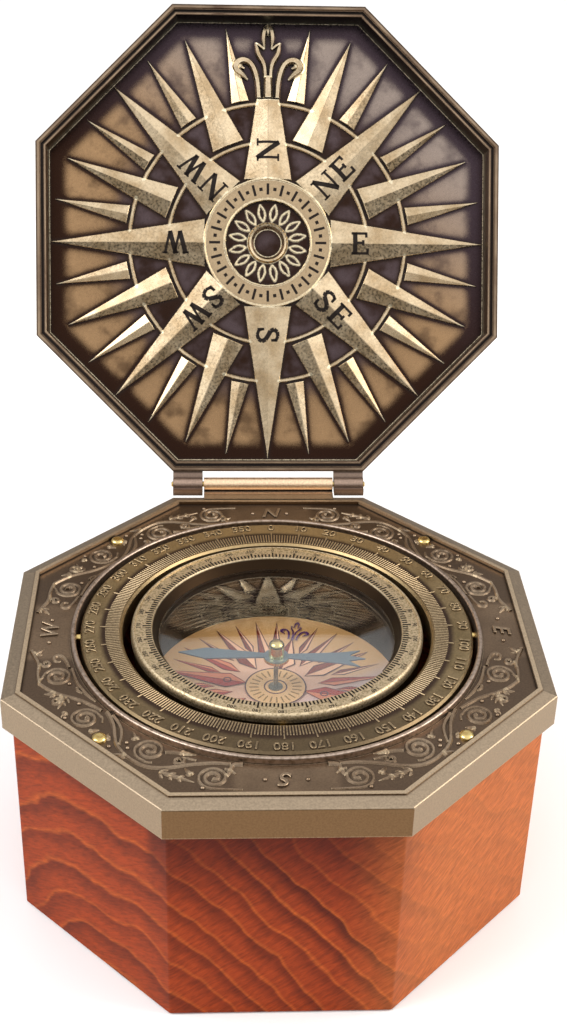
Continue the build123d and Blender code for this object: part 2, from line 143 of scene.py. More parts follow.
def tint(
    tree: Tree,
    under: str | Socket,
    over: str | Socket,
    *spans: tuple[Socket, float, float],
    most: float = 1.0,
    smooth: bool = True,
) -> Socket:
    """Lay a colour over another one where measures of the surface lie in given spans.

    Args:
        tree: The tree that the nodes go in.
        under: The colour below.
        over: The colour on top.
        spans: Measures, each with the value where it starts to show the top colour and the one where
            it shows it fully. The shares of several are multiplied.
        most: The greatest share of the top colour.
        smooth: Whether the share starts and ends softly.

    Returns:
        The mixed colour.
    """
    share = None
    for value, start, end in spans:
        part = add_node(
            tree, "ShaderNodeMapRange", ranged(start, end, 0.0, most if share is None else 1.0),
            {"Value": value}, interpolation_type="SMOOTHSTEP" if smooth else "LINEAR").outputs[0]
        share = part if share is None else add_node(
            tree, "ShaderNodeMath", links={0: share, 1: part}, operation="MULTIPLY").outputs[0]
    mixed = add_node(tree, "ShaderNodeMix", links={MIX_FACTOR: share}, data_type="RGBA")
    for number, colour in ((MIX_A, under), (MIX_B, over)):
        if isinstance(colour, str):
            mixed.inputs[number].default_value = linear(colour)
        else:
            tree.links.new(colour, mixed.inputs[number])
    return mixed.outputs[MIX_RESULT]


@dataclass(frozen=True)
class Finish:
    """A surface finish. Its material is made the first time that it is asked for."""

    name: str

    def material(self) -> bpy.types.Material:
        """Return the finish's material."""
        made = bpy.data.materials.get(self.name)
        if made is None:
            made = bpy.data.materials.new(self.name)
            made.use_nodes = True
            tree = made.node_tree
            tree.nodes.clear()
            shader = add_node(tree, "ShaderNodeBsdfPrincipled")
            add_node(tree, "ShaderNodeOutputMaterial", links={"Surface": shader.outputs[0]})
            self.build(tree, shader)
        return made

    def build(self, tree: Tree, shader: bpy.types.Node) -> None:
        """Add the finish's nodes to a tree that holds its shader and its output."""
        raise NotImplementedError

    def dress(self, *nodes: str) -> None:
        """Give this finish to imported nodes."""
        for name in nodes:
            slots = frame["nodes"][name].data.materials
            slots.clear()
            slots.append(self.material())
            LOG.info("dressed %s in %s", name, self.name)


@dataclass(frozen=True)
class AntiqueBrass(Finish):
    """Cast brass that was blackened and rubbed back: dark in the recesses, pale on the edges."""

    body: str = "#8A7258"
    tarnish: str = "#6F5A45"
    recess: str = "#2A1E18"
    rubbed: str = "#D2BC98"
    roughness: float = 0.36
    roughness_swing: Pair = (-0.06, 0.12)  # how far the grit lowers and raises it
    blotch: float = 9.0  # about as wide as real patches of tarnish
    blotch_span: Pair = (0.38, 0.66)  # noise between which the tarnish comes in
    grit: float = 0.35  # coarser than real casting grain, so that it shows
    grit_span: Pair = (0.35, 0.65)  # noise between which the grit turns from dark to light
    speckle: float = 0.12  # how far the grit lightens and darkens the colour
    crevice: float = 0.9  # how far dirt reaches out of a corner
    dirt_span: Pair = (0.92, 0.42)  # openness between which dirt gathers
    dirt_metal: float = 0.55  # how metallic the thickest dirt is
    edge: float = 0.35  # how far rubbing reaches in from an edge
    edge_span: Pair = (0.95, 0.55)  # how solid the metal is where rubbing starts and is full
    rub_span: Pair = (0.08, 0.5)  # edge times grit, between which the bare metal shows
    wear: float = 1.0
    bump: float = 0.12
    bump_depth: float = 0.05
    samples: int = 8  # rays that look for corners and edges

    def build(self, tree: Tree, shader: bpy.types.Node) -> None:
        """Mix the body's colours by blotches, crevices and rubbed edges."""
        coords = add_node(tree, "ShaderNodeTexCoord").outputs["Object"]
        blotches = add_node(
            tree, "ShaderNodeTexNoise", {"Scale": per_metre(self.blotch), "Detail": 4.0},
            {"Vector": coords}).outputs[0]
        body = tint(tree, self.body, self.tarnish, (blotches, *self.blotch_span), smooth=False)
        ground = self.local_colour(tree, coords, body)
        grit = add_node(
            tree, "ShaderNodeTexNoise", {"Scale": per_metre(self.grit), "Detail": 3.0},
            {"Vector": coords}).outputs[0]
        shade = add_node(
            tree, "ShaderNodeMapRange", ranged(*self.grit_span, 1 - self.speckle, 1 + self.speckle),
            {"Value": grit})
        speckled = add_node(
            tree, "ShaderNodeVectorMath", links={0: ground, "Scale": shade.outputs[0]}, operation="SCALE")
        hollow = add_node(
            tree, "ShaderNodeAmbientOcclusion", {"Distance": self.crevice * MM},
            samples=self.samples).outputs["AO"]
        dirty = tint(tree, speckled.outputs[0], self.recess, (hollow, *self.dirt_span), smooth=False)
        ridge = add_node(
            tree, "ShaderNodeAmbientOcclusion", {"Distance": self.edge * MM},
            samples=self.samples, inside=True, only_local=True)
        worn_and_lit = add_node(
            tree, "ShaderNodeMapRange", ranged(*self.edge_span, 0.0, self.wear),
            {"Value": ridge.outputs["AO"]})
        rub = add_node(
            tree, "ShaderNodeMath", links={0: worn_and_lit.outputs[0], 1: grit}, operation="MULTIPLY").outputs[0]
        colour = tint(tree, dirty, self.rubbed, (rub, *self.rub_span), smooth=False)
        tree.links.new(colour, shader.inputs["Base Color"])
        metal = add_node(
            tree, "ShaderNodeMapRange", ranged(*self.dirt_span, 1.0, self.dirt_metal), {"Value": hollow})
        tree.links.new(metal.outputs[0], shader.inputs["Metallic"])
        low, high = (self.roughness + swing for swing in self.roughness_swing)
        rough = add_node(tree, "ShaderNodeMapRange", ranged(*NOISE_SPAN, low, high), {"Value": grit})
        tree.links.new(rough.outputs[0], shader.inputs["Roughness"])
        bump = add_node(
            tree, "ShaderNodeBump", {"Strength": self.bump, "Distance": self.bump_depth * MM},
            {"Height": grit})
        tree.links.new(bump.outputs[0], shader.inputs["Normal"])

    def local_colour(self, tree: Tree, coords: Socket, body: Socket) -> Socket:
        """Return the colour before dirt and rubbing. Here it is the body's own."""
        return body


@dataclass(frozen=True)
class DeckBrass(AntiqueBrass):
    """Antique brass of the deck: dark matting under the scrolls, a front darkened as painted shade and a
    coppery barrel.
    """

    matting: str = "#6A5848"
    margin: str = "#A8957E"
    # painted shade on the faces that look to the front
    front: str = "#7C6145"
    copper: str = "#FFDCB8"
    field_top: float = 50.0
    line: str = "#CDB698"
    frame_inner: float = 46.5
    frame_outer: float = 47.3  # the apothem past which the margin begins
    bare_half: float = 8.8  # half the width of the bare fields for the letters
    barrel_start: float = 50.4  # where the hinge barrel begins, towards the back
    level_span: Pair = (0.5, 0.8)  # the normal's Z between which a face counts as level
    front_span: Pair = (-0.8, -0.95)  # the normal's Y between which a face is the front's, which takes painted shade

    def local_colour(self, tree: Tree, coords: Socket, body: Socket) -> Socket:
        """Darken the scrolls' ground, darken the front of the skirt with painted shade and redden the barrel.
        """
        x, y, z = add_node(tree, "ShaderNodeSeparateXYZ", links={0: coords}).outputs
        facing = add_node(tree, "ShaderNodeTexCoord").outputs["Normal"]
        _, facing_y, facing_z = add_node(tree, "ShaderNodeSeparateXYZ", links={0: facing}).outputs
        sides = [
            add_node(tree, "ShaderNodeMath", links={0: axis}, operation="ABSOLUTE").outputs[0]
            for axis in (x, y)]
        nearest, farthest, both = (
            add_node(tree, "ShaderNodeMath", links=dict(enumerate(sides)), operation=kind).outputs[0]
            for kind in ("MINIMUM", "MAXIMUM", "ADD"))
        slant = add_node(
            tree, "ShaderNodeMath", {1: math.sqrt(0.5)}, {0: both}, operation="MULTIPLY").outputs[0]
        apothem = add_node(
            tree, "ShaderNodeMath", links={0: farthest, 1: slant}, operation="MAXIMUM").outputs[0]
        top = self.field_top * MM
        ground = tint(
            tree, body, self.matting,
            (nearest, (self.bare_half - 1) * MM, (self.bare_half + 1) * MM),
            (z, top + 0.2 * MM, top + 0.05 * MM), (facing_z, *self.level_span))
        edge, inner = self.frame_outer * MM, self.frame_inner * MM
        outside = tint(tree, ground, self.margin, (apothem, edge, edge + 0.4 * MM))
        outside = tint(
            tree, outside, self.line, (apothem, inner, inner + 0.1 * MM), (apothem, edge + 0.2 * MM, edge),
            (z, top + 0.15 * MM, top + 0.3 * MM))
        # painted shade: the faces that look to the front turn browner
        front_shaded = tint(tree, outside, self.front, (facing_y, *self.front_span))
        back = self.barrel_start * MM
        return tint(tree, front_shaded, self.copper, (y, back, back + 0.3 * MM))


@dataclass(frozen=True)
class RingBrass(AntiqueBrass):
    """Antique brass of a dial, dark between the ticks, with painted light towards the hinge and painted shade
    towards the viewer.
    """

    gap: str = "#4E3E34"
    # the painted light towards the hinge and the painted shade towards the viewer
    back: str = "#B09870"
    front: str = "#6E5E48"
    gap_start: float = 29.9
    gap_end: float = 34.0
    top: float = 51.0
    back_span: Pair = (0.0, 34.0)  # from the middle towards the hinge, where painted light lightens it
    front_span: Pair = (-8.0, -36.0)  # from near the middle towards the viewer, where painted shade darkens it

    def local_colour(self, tree: Tree, coords: Socket, body: Socket) -> Socket:
        """Paint light towards the hinge and shade towards the viewer, and darken the band that carries the
        ticks, below their tops.
        """
        x, y, z = add_node(tree, "ShaderNodeSeparateXYZ", links={0: coords}).outputs
        reach = axis_distance(tree, x, y)
        # painted light, then painted shade, by the distance along y
        worn_and_lit = tint(tree, body, self.back, (y, *(at * MM for at in self.back_span)))
        aged_and_shaded = tint(tree, worn_and_lit, self.front, (y, *(at * MM for at in self.front_span)))
        return tint(
            tree, aged_and_shaded, self.gap,
            (reach, (self.gap_start - 0.2) * MM, (self.gap_start + 0.3) * MM),
            (reach, self.gap_end * MM, (self.gap_end - 1.2) * MM),
            (z, (self.top + 0.2) * MM, (self.top + 0.05) * MM))


@dataclass(frozen=True)
class RimBrass(AntiqueBrass):
    """Antique brass of the lid's cover, with knuckles that handling has kept bright."""

    knuckle: str = "#A89080"
    knuckle_top: float = 54.2
    # painted shade on the free edge of the open lid
    painted_edge_shade: str = "#1E120A"
    painted_edge_shade_span: Pair = (112.0, 140.0)  # heights between which the free edge turns dark, a painted shade
    outside: str = "#917A61"
    aged_and_shaded: str = "#745F4A"
    patch: float = 14.0  # as wide as the patches that hands leave
    patch_span: Pair = (0.35, 0.68)  # noise between which the cover looks aged
    outward: Triple = (0.0, 0.88, -0.47)  # the way the open lid's outside faces
    wall_span: Pair = (-0.4, -0.1)  # how far a face turns outward where it is a side wall
    wall_share: float = 0.8
    cover_span: Pair = (0.5, 0.8)  # the same where it is the outside

    def local_colour(self, tree: Tree, coords: Socket, body: Socket) -> Socket:
        """Lighten the lid's outside and what lies as low as the hinge, and darken the free edge with painted
        shade.
        """
        z = add_node(tree, "ShaderNodeSeparateXYZ", links={0: coords}).outputs[2]
        facing = add_node(tree, "ShaderNodeTexCoord").outputs["Normal"]
        outward = add_node(
            tree, "ShaderNodeVectorMath", {1: self.outward}, {0: facing},
            operation="DOT_PRODUCT").outputs["Value"]
        patches = add_node(
            tree, "ShaderNodeTexNoise", {"Scale": per_metre(self.patch), "Detail": 5.0}, {"Vector": coords})
        cover = tint(tree, self.outside, self.aged_and_shaded, (patches.outputs[0], *self.patch_span))
        walled = tint(tree, body, cover, (outward, *self.wall_span), most=self.wall_share)
        start, end = (height * MM for height in self.painted_edge_shade_span)
        # painted shade: the free edge darkens with height
        dark = tint(tree, walled, self.painted_edge_shade, (z, start, end))
        top = self.knuckle_top * MM
        outer = tint(tree, dark, cover, (outward, *self.cover_span))
        return tint(tree, outer, self.knuckle, (z, top, top - 0.6 * MM))


@dataclass(frozen=True)
class LidPatina(AntiqueBrass):
    """Antique brass of the lid's rose: pale rays on a floor painted lit tan in the middle of each gap and
    painted in shade near the rays and the rim.
    """

    centre: Triple = (0.0, 0.0, 0.0)
    lean: float = 0.0
    shadow: str = "#35231B"
    shade: str = "#463A40"  # the shadow's colour towards the cool side
    shade_span: Pair = (-10.0, 36.0)  # along the cool axis
    glow: str = "#B28E68"
    cool: str = "#A8978C"
    cool_span: Pair = (0.0, 40.0)  # along the cool axis
    cloud: float = 6.0  # the size of the patches in the glow
    cloud_span: Pair = (0.48, 0.72)  # noise between which a patch darkens the glow
    cloud_share: float = 0.6
    open_span: Pair = (0.985, 0.86)  # openness between which the outer floor darkens, a painted shade
    inner: str = "#35251E"
    inner_light: str = "#5C4E50"  # the inner floor's painted light where it lies open
    inner_light_open: Pair = (0.7, 0.97)  # openness between which the painted light comes in
    inner_light_cloud: Pair = (0.3, 0.62)  # noise between which it does
    boss: str = "#BFA684"
    boss_span: Pair = (9.05, 14.3)
    floor_level: float = -6.1
    glow_start: float = 30.0
    glow_end: float = 37.0
    hollow_reach: float = 5.0  # how far round a point its openness is measured
    hollow_samples: int = 16
    cool_axis: Triple = (0.5, 0.86, 0.0)

    def local_colour(self, tree: Tree, coords: Socket, body: Socket) -> Socket:
        """Colour the flat floor with painted light and shade by how open it lies, and by its distance from
        the lid's middle.
        """
        turn = Matrix.Rotation(-self.lean, 3, "X")
        shift = -(turn @ (Vector(self.centre) * MM))
        local = add_node(
            tree, "ShaderNodeMapping", {"Location": shift, "Rotation": (-self.lean, 0.0, 0.0)},
            {"Vector": coords}).outputs[0]
        x, y, z = add_node(tree, "ShaderNodeSeparateXYZ", links={0: local}).outputs
        reach = axis_distance(tree, x, y)
        side = add_node(
            tree, "ShaderNodeVectorMath", {1: self.cool_axis}, {0: local},
            operation="DOT_PRODUCT").outputs["Value"]
        wide = add_node(
            tree, "ShaderNodeAmbientOcclusion", {"Distance": self.hollow_reach * MM},
            samples=self.hollow_samples).outputs["AO"]
        clouds = add_node(
            tree, "ShaderNodeTexNoise", {"Scale": per_metre(self.cloud), "Detail": 3.0},
            {"Vector": local}).outputs[0]
        patches = tint(tree, self.glow, self.cool, (side, *(at * MM for at in self.cool_span)))
        dark = tint(tree, self.shadow, self.shade, (side, *(at * MM for at in self.shade_span)))
        cloudy = tint(tree, patches, dark, (clouds, *self.cloud_span), most=self.cloud_share)
        # painted shade: the outer floor darkens near the rays and the rim's walls
        outer = tint(tree, cloudy, dark, (wide, *self.open_span))
        # painted light: the inner floor lightens where it lies open
        inner_lit_floor = tint(tree, self.inner, self.inner_light, (wide, *self.inner_light_open), (clouds, *self.inner_light_cloud))
        floor = tint(tree, outer, inner_lit_floor, (reach, self.glow_end * MM, self.glow_start * MM))
        level = self.floor_level * MM
        start, end = (edge * MM for edge in self.boss_span)
        raised = tint(tree, body, self.boss, (reach, end, end - 0.2 * MM), (reach, start - 0.2 * MM, start))
        return tint(tree, floor, raised, (z, level + 0.1 * MM, level + 0.3 * MM))


@dataclass(frozen=True)
class TurnedBrass(Finish):
    """Brass cut on a lathe: fine rings round the axis, with light tarnish between them."""

    body: str = "#C9B074"
    tarnish: str = "#8C7444"
    roughness: float = 0.3
    roughness_swing: Pair = (-0.08, 0.12)  # how far the grooves lower and raise it
    groove: float = 0.12  # coarser than a real tool mark, so that it shows
    speck: float = 0.7  # coarser than real specks of tarnish, so that they show
    speck_span: Pair = (0.45, 0.72)  # noise between which a speck comes in
    bump: float = 0.08
    bump_depth: float = 0.04
    dark: str = "#3A2216"
    dark_reach: float = 0.0  # the radius inside which it is darker

    def build(self, tree: Tree, shader: bpy.types.Node) -> None:
        """Rule rings by the distance from the upright axis and mottle them."""
        coords = add_node(tree, "ShaderNodeTexCoord").outputs["Object"]
        x, y, z = add_node(tree, "ShaderNodeSeparateXYZ", links={0: coords}).outputs
        reach = axis_distance(tree, x, y)
        line = add_node(tree, "ShaderNodeCombineXYZ", links={0: reach, 2: z})
        rings = add_node(
            tree, "ShaderNodeTexNoise", {"Scale": per_metre(self.groove), "Detail": 2.0},
            {"Vector": line.outputs[0]})
        specks = add_node(
            tree, "ShaderNodeTexNoise", {"Scale": per_metre(self.speck), "Detail": 5.0},
            {"Vector": coords}).outputs[0]
        colour = tint(tree, self.body, self.tarnish, (specks, *self.speck_span), smooth=False)
        if self.dark_reach:
            edge = self.dark_reach * MM
            colour = tint(tree, colour, self.dark, (reach, edge, edge - 0.2 * MM))
        tree.links.new(colour, shader.inputs["Base Color"])
        shader.inputs["Metallic"].default_value = 1.0
        low, high = (self.roughness + swing for swing in self.roughness_swing)
        rough = add_node(
            tree, "ShaderNodeMapRange", ranged(*NOISE_SPAN, low, high), {"Value": rings.outputs[0]})
        tree.links.new(rough.outputs[0], shader.inputs["Roughness"])
        bump = add_node(
            tree, "ShaderNodeBump", {"Strength": self.bump, "Distance": self.bump_depth * MM},
            {"Height": rings.outputs[0]})
        tree.links.new(bump.outputs[0], shader.inputs["Normal"])


@dataclass(frozen=True)
class PlainMetal(Finish):
    """Smooth metal with a faint mottle: polished brass, blued or turned steel, raw lead."""

    body: str = "#C8A860"
    stain: str = "#8A7040"
    roughness: float = 0.2
    roughness_swing: float = 0.1  # how far the mottle raises it
    mottle: float = 1.5  # coarser than real stains on small pins, so that it shows
    mottle_span: Pair = (0.4, 0.75)  # noise between which the stain comes in
    metallic: float = 1.0

    def build(self, tree: Tree, shader: bpy.types.Node) -> None:
        """Mottle the metal's colour and its roughness."""
        coords = add_node(tree, "ShaderNodeTexCoord").outputs["Object"]
        mottle = add_node(
            tree, "ShaderNodeTexNoise", {"Scale": per_metre(self.mottle), "Detail": 4.0},
            {"Vector": coords}).outputs[0]
        colour = tint(tree, self.body, self.stain, (mottle, *self.mottle_span), smooth=False)
        tree.links.new(colour, shader.inputs["Base Color"])
        shader.inputs["Metallic"].default_value = self.metallic
        rough = add_node(
            tree, "ShaderNodeMapRange",
            ranged(*NOISE_SPAN, self.roughness, self.roughness + self.roughness_swing), {"Value": mottle})
        tree.links.new(rough.outputs[0], shader.inputs["Roughness"])


@dataclass(frozen=True)
class VarnishedWood(Finish):
    """Reddish-brown hardwood under satin varnish: growth rings, short fibres and a paler, plainer side."""

    late: str = "#521606"
    early: str = "#963810"
    line: str = "#BA5A20"
    pale: str = "#C06C36"
    pith: Triple = (-56.5, -64.4, 3.9)  # a point that the rings' axis passes through
    axis: Triple = (-0.55, -0.43, 0.71)
    ring: float = 5.0  # the width of one year's growth, as the photograph has it
    ring_tones: tuple[float, ...] = (0.12, 0.4, 0.78, 0.9)  # where early, then late wood begins and ends
    ring_luck: float = 0.6  # how far a lucky year turns all to early wood
    waver: float = 22.0  # how long the rings' bends are
    fibre: float = 0.42  # coarser than real fibres, so that it shows
    fibre_length: float = 2.6
    fibre_turn: float = 38.0  # degrees that the fibres rise to the right, seen from the front
    fibre_span: Pair = (0.34, 0.66)  # noise between which a fibre turns from dark to light
    fibre_shade: Pair = (0.7, 1.28)  # how much it darkens and lightens the colour
    roughness: float = 0.42
    specular: float = 0.12
    coat: float = 0.04
    coat_roughness: float = 0.3
    bump: float = 0.15
    bump_depth: float = 0.05
    front: float = -44.0  # past this, towards the viewer, lies the front face
    shaded: Pair = (20.0, 46.0)  # heights between which that face darkens
    shaded_share: float = 0.85
    pale_span: Pair = (8.0, 30.0)  # from near the middle to the right
    pale_share: float = 0.8

    def build(self, tree: Tree, shader: bpy.types.Node) -> None:
        """Draw the rings round their axis, then the fibres, then the varnish."""
        coords = add_node(tree, "ShaderNodeTexCoord").outputs["Object"]
        centred = add_node(
            tree, "ShaderNodeVectorMath", {1: Vector(self.pith) * MM}, {0: coords}, operation="SUBTRACT")
        across = add_node(
            tree, "ShaderNodeVectorMath", {1: Vector(self.axis).normalized()}, {0: centred.outputs[0]},
            operation="CROSS_PRODUCT")
        reach = add_node(tree, "ShaderNodeVectorMath", links={0: across.outputs[0]}, operation="LENGTH")
        waver = add_node(
            tree, "ShaderNodeTexNoise", {"Scale": per_metre(self.waver), "Detail": 3.0}, {"Vector": coords})
        swing = add_node(
            tree, "ShaderNodeMapRange", {"To Min": -self.ring * MM, "To Max": self.ring * MM},
            {"Value": waver.outputs[0]})
        bent = add_node(
            tree, "ShaderNodeMath", links={0: reach.outputs["Value"], 1: swing.outputs[0]}, operation="ADD")
        count = add_node(
            tree, "ShaderNodeMath", {1: per_metre(self.ring)}, {0: bent.outputs[0]}, operation="MULTIPLY")
        phase = add_node(tree, "ShaderNodeMath", links={0: count.outputs[0]}, operation="FRACT")
        year = add_node(tree, "ShaderNodeMath", links={0: count.outputs[0]}, operation="FLOOR")
        luck = add_node(tree, "ShaderNodeTexWhiteNoise", links={"W": year.outputs[0]}, noise_dimensions="1D")
        tones = add_node(tree, "ShaderNodeValToRGB", links={0: phase.outputs[0]})
        stops = tones.color_ramp.elements
        stops[0].position, stops[0].color = 0.0, linear(self.line)
        stops[1].position, stops[1].color = 1.0, linear(self.line)
        for at, colour in zip(self.ring_tones, (self.early, self.early, self.late, self.late)):
            stops.new(at).color = linear(colour)
        rings = tint(
            tree, tones.outputs[0], self.early, (luck.outputs["Value"], -0.2, 1.0), most=self.ring_luck)
        turned = add_node(
            tree, "ShaderNodeMapping", {"Rotation": (0.0, math.radians(self.fibre_turn), 0.0)},
            {"Vector": coords})
        fine = add_node(
            tree, "ShaderNodeMapping",
            {"Scale": (per_metre(self.fibre_length), per_metre(self.fibre_length), per_metre(self.fibre))},
            {"Vector": turned.outputs[0]})
        fibres = add_node(
            tree, "ShaderNodeTexNoise", {"Scale": 1.0, "Detail": 5.0, "Roughness": 0.65},
            {"Vector": fine.outputs[0]})
        x, y, z = add_node(tree, "ShaderNodeSeparateXYZ", links={0: coords}).outputs
        low, high = (height * MM for height in self.shaded)
        front = self.front * MM
        topped = tint(
            tree, rings, self.late, (z, low, high), (y, front, front - 2 * MM), most=self.shaded_share)
        sided = tint(
            tree, topped, self.pale, (x, *(at * MM for at in self.pale_span)), most=self.pale_share)
        shade = add_node(
            tree, "ShaderNodeMapRange", ranged(*self.fibre_span, *self.fibre_shade),
            {"Value": fibres.outputs[0]})
        colour = add_node(
            tree, "ShaderNodeVectorMath", links={0: sided, "Scale": shade.outputs[0]}, operation="SCALE")
        tree.links.new(colour.outputs[0], shader.inputs["Base Color"])
        shader.inputs["Roughness"].default_value = self.roughness
        shader.inputs["Specular IOR Level"].default_value = self.specular
        shader.inputs["Coat Weight"].default_value = self.coat
        shader.inputs["Coat Roughness"].default_value = self.coat_roughness
        bump = add_node(
            tree, "ShaderNodeBump", {"Strength": self.bump, "Distance": self.bump_depth * MM},
            {"Height": fibres.outputs[0]})
        tree.links.new(bump.outputs[0], shader.inputs["Normal"])


@dataclass(frozen=True)
class Fabric(Finish):
    """Pressed felt: matt, with short tangled fibres."""

    body: str = "#2C4A33"
    fibre: str = "#41634A"
    size: float = 0.4  # coarser than real felt fibres, so that they show
    roughness: float = 0.95
    sheen: float = 0.4
    bump: float = 0.6
    bump_depth: float = 0.2

    def build(self, tree: Tree, shader: bpy.types.Node) -> None:
        """Tangle two greens and raise the fibres."""
        coords = add_node(tree, "ShaderNodeTexCoord").outputs["Object"]
        fibres = add_node(
            tree, "ShaderNodeTexNoise", {"Scale": per_metre(self.size), "Detail": 6.0, "Distortion": 1.5},
            {"Vector": coords})
        colour = add_node(
            tree, "ShaderNodeMix", {MIX_A: linear(self.body), MIX_B: linear(self.fibre)},
            {MIX_FACTOR: fibres.outputs[0]}, data_type="RGBA")
        tree.links.new(colour.outputs[MIX_RESULT], shader.inputs["Base Color"])
        shader.inputs["Roughness"].default_value = self.roughness
        shader.inputs["Sheen Weight"].default_value = self.sheen
        bump = add_node(
            tree, "ShaderNodeBump", {"Strength": self.bump, "Distance": self.bump_depth * MM},
            {"Height": fibres.outputs[0]})
        tree.links.new(bump.outputs[0], shader.inputs["Normal"])


@dataclass(frozen=True)
class PrintedPaper(Finish):
    """A card printed in tan with soft washes of pink and lilac, under a faint paper grain."""

    tan: str = "#D9A26A"
    rose: str = "#DCA898"
    lilac: str = "#BDB2D6"
    rose_span: Pair = (18.0, 8.0)  # distances from the middle between which the pink comes in
    rose_share: float = 0.75
    lilac_way: Triple = (0.55, -0.84, 0.0)  # towards the lilac corner
    lilac_span: Pair = (4.0, 13.0)  # distances that way between which the lilac comes in
    lilac_share: float = 0.85
    fibre: float = 0.3  # coarser than real paper fibres, so that they show
    grain: float = 0.1  # how far the fibres darken and lighten the print
    roughness: float = 0.7

    def build(self, tree: Tree, shader: bpy.types.Node) -> None:
        """Lay the washes over the tan ground."""
        coords = add_node(tree, "ShaderNodeTexCoord").outputs["Object"]
        x, y, _ = add_node(tree, "ShaderNodeSeparateXYZ", links={0: coords}).outputs
        inner = (axis_distance(tree, x, y), *(at * MM for at in self.rose_span))
        pink = tint(tree, self.tan, self.rose, inner, most=self.rose_share, smooth=False)
        slope = add_node(
            tree, "ShaderNodeVectorMath", {1: self.lilac_way}, {0: coords}, operation="DOT_PRODUCT")
        corner = (slope.outputs["Value"], *(at * MM for at in self.lilac_span))
        washed = tint(tree, pink, self.lilac, corner, most=self.lilac_share, smooth=False)
        fibres = add_node(
            tree, "ShaderNodeTexNoise", {"Scale": per_metre(self.fibre), "Detail": 3.0}, {"Vector": coords})
        grain = add_node(
            tree, "ShaderNodeMapRange", ranged(0.0, 1.0, 1 - self.grain, 1 + self.grain),
            {"Value": fibres.outputs[0]})
        colour = add_node(
            tree, "ShaderNodeVectorMath", links={0: washed, "Scale": grain.outputs[0]}, operation="SCALE")
        tree.links.new(colour.outputs[0], shader.inputs["Base Color"])
        shader.inputs["Roughness"].default_value = self.roughness


@dataclass(frozen=True)
class Ink(Finish):
    """Printing ink or engraver's wax, slightly uneven."""

    tone: str = "#3A2A24"
    faded: str = "#54403A"
    patch: float = 1.2  # coarser than real flecks in ink, so that they show
    roughness: float = 0.6
    specular: float = 0.2

    def build(self, tree: Tree, shader: bpy.types.Node) -> None:
        """Let the tone fade in small patches."""
        coords = add_node(tree, "ShaderNodeTexCoord").outputs["Object"]
        patches = add_node(
            tree, "ShaderNodeTexNoise", {"Scale": per_metre(self.patch), "Detail": 3.0}, {"Vector": coords})
        colour = add_node(
            tree, "ShaderNodeMix", {MIX_A: linear(self.tone), MIX_B: linear(self.faded)},
            {MIX_FACTOR: patches.outputs[0]}, data_type="RGBA")
        tree.links.new(colour.outputs[MIX_RESULT], shader.inputs["Base Color"])
        shader.inputs["Roughness"].default_value = self.roughness
        shader.inputs["Specular IOR Level"].default_value = self.specular


@dataclass(frozen=True)
class Glass(Finish):
    """Clear domed glass that lets the lamps through."""

    shade: str = "#F4F8F6"
    ior: float = 1.66  # above window glass, for the strong reflection that the lid gives

    def build(self, tree: Tree, shader: bpy.types.Node) -> None:
        """Make the shader clear, and open it to rays that go to a lamp."""
        shader.inputs["Base Color"].default_value = linear(self.shade)
        shader.inputs["Roughness"].default_value = 0.0
        shader.inputs["IOR"].default_value = self.ior
        shader.inputs["Transmission Weight"].default_value = 1.0
        path = add_node(tree, "ShaderNodeLightPath")
        clear = add_node(tree, "ShaderNodeBsdfTransparent", {"Color": linear(self.shade)})
        mix = add_node(
            tree, "ShaderNodeMixShader",
            links={0: path.outputs["Is Shadow Ray"], 1: shader.outputs[0], 2: clear.outputs[0]})
        output = next(n for n in tree.nodes if n.type == "OUTPUT_MATERIAL")
        tree.links.new(mix.outputs[0], output.inputs["Surface"])


@dataclass(frozen=True)
class FloorPaint(Finish):
    """The white studio floor, which gloss mirrors a little greyer, as the floor past a paper sweep."""

    tone: str = "#FFFFFF"
    mirrored: str = "#E8E4DE"
    roughness: float = 0.9

    def build(self, tree: Tree, shader: bpy.types.Node) -> None:
        """Set a matt white, greyer to mirrored rays."""
        gloss = add_node(tree, "ShaderNodeLightPath").outputs["Is Glossy Ray"]
        tree.links.new(tint(tree, self.tone, self.mirrored, (gloss, 0.0, 1.0)), shader.inputs["Base Color"])
        shader.inputs["Roughness"].default_value = self.roughness


# Brass cast in relief, blackened and buffed: pale tops with dark feet, so that each scroll reads alone.
RELIEF_BRONZE = AntiqueBrass(
    "relief_antique_brass", body="#A48F78", tarnish="#8C7660", recess="#2A1D16", rubbed="#D0BA9A",
    crevice=0.7, edge=0.2, wear=0.8)
# The same casting's cap, where buffing didn't reach the ground: a darker, duller field round the scrolls.
DECK_BRONZE = DeckBrass(
    "deck_antique_brass", body="#8C7660", tarnish="#7A6653", recess="#20160F", rubbed="#C3AE90", crevice=0.75,
    wear=0.5)
# A cast ring, lighter than the deck, with painted light towards the hinge and painted shade towards the
# viewer: warm numbers and ticks over a brown gap.
RING_BRONZE = RingBrass(
    "ring_antique_brass", body="#A48F6C", tarnish="#8A7756", recess="#2E2018", rubbed="#BCA584", blotch=6.0,
    wear=0.7)
# The lid's cast cover, left nearly black inside and handled outside: a dark frame for the pale rose.
LID_RIM = RimBrass(
    "lid_rim_brass", body="#3C2B22", tarnish="#281A13", recess="#160D09", rubbed="#806A56", blotch=12.0,
    crevice=1.6, edge=0.25)
# The rim's corner, rubbed bare and lightened as a painted highlight on its rounded lip: a soft pale line
# round the lid.
LID_LINE = PlainMetal("worn_and_highlit_line", body="#A8927A", stain="#6A5648", roughness=0.34, mottle=7.0)
# Yellow brass, turned and polished: the small bright dots of pins and pivots.
BRIGHT_BRASS = PlainMetal("polished_brass", body="#E9D08C", stain="#C29C58", roughness=0.14)
# A turned bead under old lacquer: a pinkish, quiet ring round the well.
LINER_BRASS = TurnedBrass("liner_turned_brass", body="#BCA898", tarnish="#8C7A6A", roughness=0.38)
